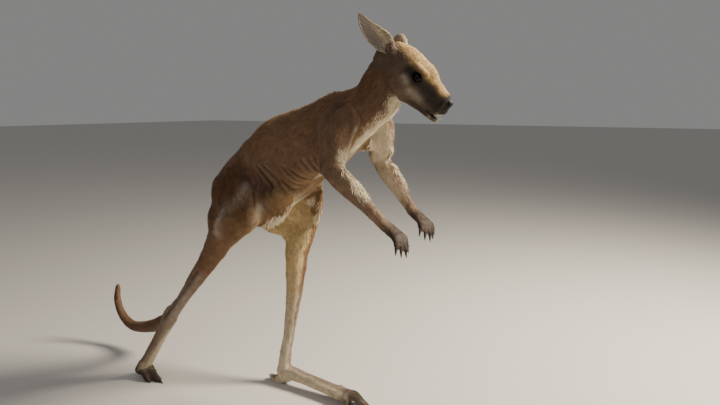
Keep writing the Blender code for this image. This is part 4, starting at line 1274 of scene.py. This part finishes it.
def finish_coat(name, laid, colours, run, tone=0.11):
    """Colours the locks, each a little differently, and files the piece."""
    mesh = as_mesh(name, laid["spots"])
    own_tone = 1 + laid["draw"].normal(size=laid["count"]) * tone
    own_tone *= 1 + 0.08 * ripple(laid["root"], 0.016, 71) + 0.06 * ripple(laid["root"], 0.060, 72)
    own_tone = np.clip(own_tone, 0.45, 1.7)[:, None, None]
    shades = colours[:, None, :] * own_tone * BLADE_TONES[None, :, None]
    store_colours(mesh, np.clip(shades, 0, 1).reshape(-1, 3))
    unwrap(mesh, laid["root"], run)
    coat_finish.put_on(mesh)
    piece = add(name, mesh)
    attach(piece, "root")


in_folds = ramp(0.25, 0.60, flank_folds(body.points)[1])
depth = coat_depth(body) * (1 - 0.68 * in_folds)
NOSE_BACK, NOSE_SIDE, NOSE_FOOT = 0.2405, 0.022, -0.036  # the edges of the bare leather
x, y, z = body.head.T
bare = in_mouth | ((x > NOSE_BACK) & (z > NOSE_FOOT) & (abs(y) < NOSE_SIDE))
for side in SIDES.values():
    _, ahead, a, b = round_eye(body.points, side)
    bare |= (ahead > -0.002) & (np.sqrt(a**2 + b**2) <= LID_EDGE)
growing = ~bare & (body.points[:, 2] > 0.004)
LIMBS = ("leg_right", "leg_left", "arm_right", "arm_left")
on_head, on_trunk = body.is_part("head"), body.is_part("trunk")
front_of_face, front_of_trunk = x > 0.10, body.trunk_share < 0.45
COATS = [
    # piece, kind of lock, where it grows, the run it is unrolled round, seed
    ("coat_face", "head", on_head & front_of_face, "head", 1),
    ("coat_crown", "head", on_head & ~front_of_face, "head", 2),
    ("coat_neck_chest", "trunk", on_trunk & front_of_trunk, "trunk", 3),
    ("coat_flanks", "trunk", on_trunk & ~front_of_trunk, "trunk", 4),
    ("coat_folds", "fold", body.is_part("trunk", *LIMBS), "trunk", 10),
    ("coat_tail", "tail", body.is_part("tail"), "tail", 5),
]
for seed, limb in enumerate(LIMBS, 6):
    COATS.append(("coat_" + limb, limb[:3], body.is_part(limb), limb, seed))
for name, kind, wanted, run, seed in COATS:
    share = in_folds if kind == "fold" else 1 - in_folds
    laid = grow(hide_mesh, body, (wanted & growing) * share, LOCKS[kind], depth, seed)
    finish_coat(name, laid, marks_and_painted_light(Body(laid["root"], laid["up"])), RUNS[run])

EAR_HAIRS = (230000, 0.011, 0.00042, 0.20)
for name, (mesh, base, along, face, side, pose) in ear_pieces.items():
    spots, facing = read_places(mesh), read_normals(mesh)
    ear_body = Body(spots, facing)
    backs = (facing @ np.array(face) < 0.25) * 1.0
    laid = grow(mesh, ear_body, backs, LOCKS["ear"], np.full(len(spots), 0.0014), 12, along)
    ear_run = [(*base, 0.02), (*(base + along * EAR_LENGTH), 0.02)]
    colours = ear_colours(laid["root"], laid["up"], base, along, face, side, pose)
    finish_coat("coat_ear_" + name, laid, colours, ear_run)
    # Long pale hairs stand in the mouth of the ear, off its front edge and its base.
    rise, across = on_ear(spots, base, along, side, pose)
    inner = (facing @ np.array(face) > 0.0) & (rise < 0.72)
    edges = inner * np.maximum(ramp(0.05, 0.60, across), ramp(0.30, 0.12, rise) * 0.6)
    sweep = along * 0.95 - side * pose["front"] * 0.30 + face * 0.04
    laid = grow(mesh, ear_body, edges, EAR_HAIRS, np.full(len(spots), 0.0016), 13, sweep)
    colours = np.tile(np.array(CREAM) * 0.72, (laid["count"], 1))
    finish_coat("coat_ear_hairs_" + name, laid, colours, ear_run, 0.22)

# Loose fringes hang along the edge of the belly down to the groin, down the front of the chest
# and the forward edge of the forearm, over the withers, and at the base of the ears.
FRINGES = {
    # line, reach, side of the skin it grows on, way the hair hangs,
    # per square metre, length, half width, stand-off, colour
    "coat_belly_edge": (
        [(0.360, 0.030, 0.822), (0.300, 0.060, 0.775),
         (0.240, 0.090, 0.722), (0.205, 0.125, 0.690)],
        0.024, (0.0, 0.0, -1.0), (-0.55, 0.0, -0.85), 210000, 0.023, 0.0007, 0.008, CREAM,
    ),
    "coat_groin": (
        [(0.205, 0.120, 0.690), (0.180, 0.100, 0.670), (0.120, 0.060, 0.665)],
        0.030, (0.0, 0.0, -1.0), (-0.35, 0.0, -0.95), 230000, 0.029, 0.0008, 0.012, CREAM,
    ),
    "coat_chest_edge": (
        [(0.588, 0.010, 1.090), (0.545, 0.030, 1.010),
         (0.490, 0.055, 0.935), (0.470, 0.070, 0.900)],
        0.020, (0.8, 0.0, -0.6), (-0.25, 0.0, -0.95), 150000, 0.018, 0.0008, 0.006, CREAM,
    ),
    "coat_elbow": (
        [(0.484, 0.148, 0.912), (0.503, 0.150, 0.858),
         (0.526, 0.149, 0.828), (0.552, 0.149, 0.794)],
        0.015, (0.85, -0.15, 0.50), (0.50, 0.0, -0.80), 190000, 0.019, 0.0008, 0.010, CREAM,
    ),
    "coat_back": (
        [(0.270, 0.020, 1.050), (0.340, 0.020, 1.085), (0.400, 0.020, 1.100)],
        0.045, (0.0, 0.0, 1.0), (-0.85, 0.0, -0.10), 60000, 0.022, 0.0013, 0.010, RED_BROWN,
    ),
    "coat_ear_base": (
        [(0.590, 0.030, 1.262), (0.600, 0.042, 1.245), (0.588, 0.048, 1.222)],
        0.020, (0.0, 0.7, 0.3), (-0.75, 0.0, 0.65), 130000, 0.017, 0.0009, 0.006, GREY_BROWN,
    ),
}
for seed, (name, fringe) in enumerate(FRINGES.items(), 20):
    line, near, outward, way, density, length, half, off, colour = fringe
    close = np.zeros(len(body.points))
    for side in SIDES.values():
        facing = ramp(0.10, 0.50, body.normals @ unit(np.array(outward) * (1, side, 1)))
        stops = [mirror_of(stop, side) for stop in line]
        close = np.maximum(close, near_path(body.points, stops, near) * facing)
    close = close * (close > 0.20) * growing
    if name != "coat_ear_base":
        close = close * ~on_head
    kind, depths = (density, length, half, 0.34), np.full(len(close), off)
    laid = grow(hide_mesh, body, close, kind, depths, seed, way)
    colours = marks_and_painted_light(Body(laid["root"], laid["up"]))
    paint(colours, np.ones(laid["count"]), (colour, 0.85))
    finish_coat(name, laid, colours, RUNS["trunk"], 0.20)

# ------------------------------------------------------------------ eyes
# Large dark wet eyes. Each is one glossy ball set in the skull behind the lids, almost filled by
# the pupil, with a thin ring of dark brown iris round it.
eye_finish = Finish("eye", Roughness=0.10, Specular_IOR_Level=0.10)
eye_flecks = eye_finish.noise(900.0, 3.0)
eye_finish.wear(Base_Color=eye_finish.shaded(eye_finish.painted(), 0.6, 1.4, eye_flecks))
PUPIL, IRIS = (0.0030, 0.0022, 0.0018), (0.0085, 0.0040, 0.0020)
for name, side in SIDES.items():
    centre, look, _, _ = eye_frame(side)
    ball = bmesh.new()
    bmesh.ops.create_uvsphere(ball, u_segments=48, v_segments=32, radius=EYE_RADIUS)
    turn = Vector((0, 0, 1)).rotation_difference(Vector(look)).to_matrix().to_4x4()
    bmesh.ops.transform(ball, matrix=Matrix.Translation(Vector(centre)) @ turn, verts=ball.verts)
    mesh = cast("eyeball", ball)
    ahead = unit(read_places(mesh) - centre) @ look
    colours = np.tile(np.array(PUPIL), (len(ahead), 1))
    paint(colours, 1.0, (IRIS, ramp(0.58, 0.66, ahead) * ramp(0.92, 0.88, ahead)))
    store_colours(mesh, colours)
    eye_finish.put_on(mesh)
    piece = add("eyeball_" + name, mesh)
    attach(piece, "root")
    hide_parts("eye_" + name)

# ------------------------------------------------------------------ nose
# The bare leather between the nostrils is black, moist and finely cobbled. It is one boxy pad
# over the front of the snout, with both nostrils pressed into it.
NOSE_BLACK = (0.006, 0.005, 0.005, 1.0)
nose_finish = Finish("nose leather", Roughness=0.55, Specular_IOR_Level=0.28, Base_Color=NOSE_BLACK)
pores = nose_finish.node("ShaderNodeTexVoronoi", Vector=nose_finish.places(), Scale=900.0)
nose_finish.wear(Normal=nose_finish.bump(pores, 0.5, 0.0006))
BOXY = 2.8  # 2 would be round


def bulge(place, centre, spread):
    """1 at the centre, falling off by its own spread each way."""
    return math.exp(-sum(((p - c) / s) ** 2 for p, c, s in zip(place, centre, spread)))


leather = bmesh.new()
bmesh.ops.create_uvsphere(leather, u_segments=64, v_segments=40, radius=1.0)
for vertex in leather.verts:
    x, y, z = vertex.co
    place = (x, abs(y), z)
    # The nostrils open forwards and outwards, each a comma that curls up and back.
    size = 1 - 0.62 * bulge(place, (0.62, 0.66, -0.22), (0.30, 0.22, 0.20))
    size -= 0.34 * bulge(place, (0.28, 0.90, 0.12), (0.30, 0.20, 0.13))
    size += 0.08 * bulge(place, (0.5, 0.86, -0.30), (0.3, 0.16, 0.34))
    size -= 0.06 * math.exp(-((y / 0.07) ** 2)) * ramp(0.1, -0.5, z)
    size *= 0.94 / sum(abs(p) ** BOXY for p in place) ** (1 / BOXY)
    wide = 0.0182 * (1 - 0.10 * max(z, 0.0))
    spot = Vector(NOSE_PLACE) + Vector((x * 0.0142, y * wide, z * 0.0158)) * size
    vertex.co = in_head(spot.x - 0.001, spot.y, spot.z - 0.001)
mesh = cast("nose_leather", leather)
nose_finish.put_on(mesh)
piece = add("nose_leather", mesh)
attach(piece, "root")
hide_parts("nose")

# ------------------------------------------------------------------ mouth
# The tongue lies low between the jaws, soft pink flesh with fine buds. The two long lower
# cutting teeth are ivory, and point forwards from the front of the jaw.
tongue_finish = Finish("tongue", Roughness=0.42, Specular_IOR_Level=0.4)
buds, flush = tongue_finish.noise(1500.0, 3.0), tongue_finish.plain(0.150, 0.055, 0.050)
tongue_finish.wear(
    Base_Color=tongue_finish.shaded(flush, 0.7, 1.2, buds),
    Normal=tongue_finish.bump(buds, 0.5, 0.0005),
)
tooth_finish = Finish("tooth", Roughness=0.30, Specular_IOR_Level=0.5)
stain, ivory = tooth_finish.noise(500.0, 3.0), tooth_finish.plain(0.560, 0.480, 0.350)
tooth_finish.wear(Base_Color=tooth_finish.shaded(ivory, 0.75, 1.15, stain))
tongue, teeth = bmesh.new(), bmesh.new()
bmesh.ops.create_uvsphere(tongue, u_segments=40, v_segments=24, radius=1.0)
for vertex in tongue.verts:
    x, y, z = vertex.co
    dip = 0.0012 * math.exp(-((y / 0.25) ** 2)) * max(z, 0.0)
    along = 0.2200 + 0.0290 * x
    vertex.co = in_head(along, y * 0.0088, -0.0757 + (along - 0.222) * 0.04 + z * 0.0034 - dip)
for side in SIDES.values():
    root, tip = Vector((0.2440, side * 0.0021, -0.0790)), Vector((0.2665, side * 0.0017, -0.0612))
    made = bmesh.ops.create_uvsphere(teeth, u_segments=20, v_segments=14, radius=1.0)["verts"]
    for vertex in made:
        x, y, z = vertex.co
        narrow = 1 - 0.35 * ramp(-0.2, 1.0, x)
        place = root.lerp(tip, (x + 1) / 2)
        vertex.co = in_head(place.x, place.y + y * 0.0020 * narrow, place.z + z * 0.0016 * narrow)
MOUTH = (("tongue", tongue, tongue_finish, "nose"), ("lower_teeth", teeth, tooth_finish, "claw"))
for name, flesh, finish, slot in MOUTH:
    bmesh.ops.recalc_face_normals(flesh, faces=flesh.faces[:])
    mesh = cast(name, flesh)
    finish.put_on(mesh)
    piece = add(name, mesh)
    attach(piece, "root")

# ------------------------------------------------------------------ claws
# Black horn claws on every finger and toe, curved, with a fine grain. They keep the shape of
# the solids, and stand out of the ends of the fingers and toes.
claw_finish = Finish("claw horn", Roughness=0.38, Specular_IOR_Level=0.5)
horn_grain, horn_colour = claw_finish.noise(700.0, 4.0, 0.7), claw_finish.plain(0.020, 0.016, 0.014)
claw_finish.wear(
    Base_Color=claw_finish.shaded(horn_colour, 0.6, 1.7, horn_grain),
    Normal=claw_finish.bump(horn_grain, 0.4, 0.0005),
)
claw_names = sorted(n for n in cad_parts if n.startswith("claw_"))
horn = bmesh.new()
for name in claw_names:
    horn.from_mesh(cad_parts[name].data)
bmesh.ops.remove_doubles(horn, verts=horn.verts[:], dist=1e-6)
mesh = cast("claws", horn)
claw_finish.put_on(mesh)
piece = add("claws", mesh)
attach(piece, "root")
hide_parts(*claw_names)

# ------------------------------------------------------------------ studio
# A plain pale floor under soft lights: a broad warm key high before the animal, and a weak fill
# on its right. The camera stands ahead of it on the right, a little above its middle.
floor_grid = bmesh.new()
bmesh.ops.create_grid(floor_grid, x_segments=1, y_segments=1, size=30.0)
floor = add("floor", cast("floor", floor_grid))
floor_finish = Finish("floor", Roughness=0.9, Base_Color=(0.62, 0.60, 0.57, 1.0))
floor_finish.put_on(floor.data)


def soft_light(name, place, target, size, power, colour):
    lamp = bpy.data.lights.new(name, "AREA")
    lamp.shape, lamp.size, lamp.energy, lamp.color = "DISK", size, power, colour
    thing = add(name, lamp)
    thing.location = place
    thing.rotation_euler = (Vector(target) - Vector(place)).to_track_quat("-Z", "Y").to_euler()


soft_light("key", (2.5, 1.5, 2.7), (0.2, 0, 0.7), 1.1, 310.0, (1.0, 0.90, 0.72))
soft_light("fill", (1.4, -3.2, 2.2), (0.1, 0, 0.6), 1.6, 24.0, (1.0, 0.95, 0.90))
world = bpy.data.worlds.new("studio")
bpy.context.scene.world = world
world.use_nodes = True
sky = world.node_tree.nodes["Background"].inputs
sky["Color"].default_value, sky["Strength"].default_value = (0.88, 0.87, 0.86, 1.0), 0.27

lens = bpy.data.cameras.new("camera")
lens.lens, lens.sensor_width = 31.0, 36.0
camera = add("camera", lens)
camera.location = at(1.500, -1.668, 1.05)
camera.rotation_euler = (math.radians(90 - 8.94), 0.0, math.radians(32))
bpy.context.scene.camera = camera
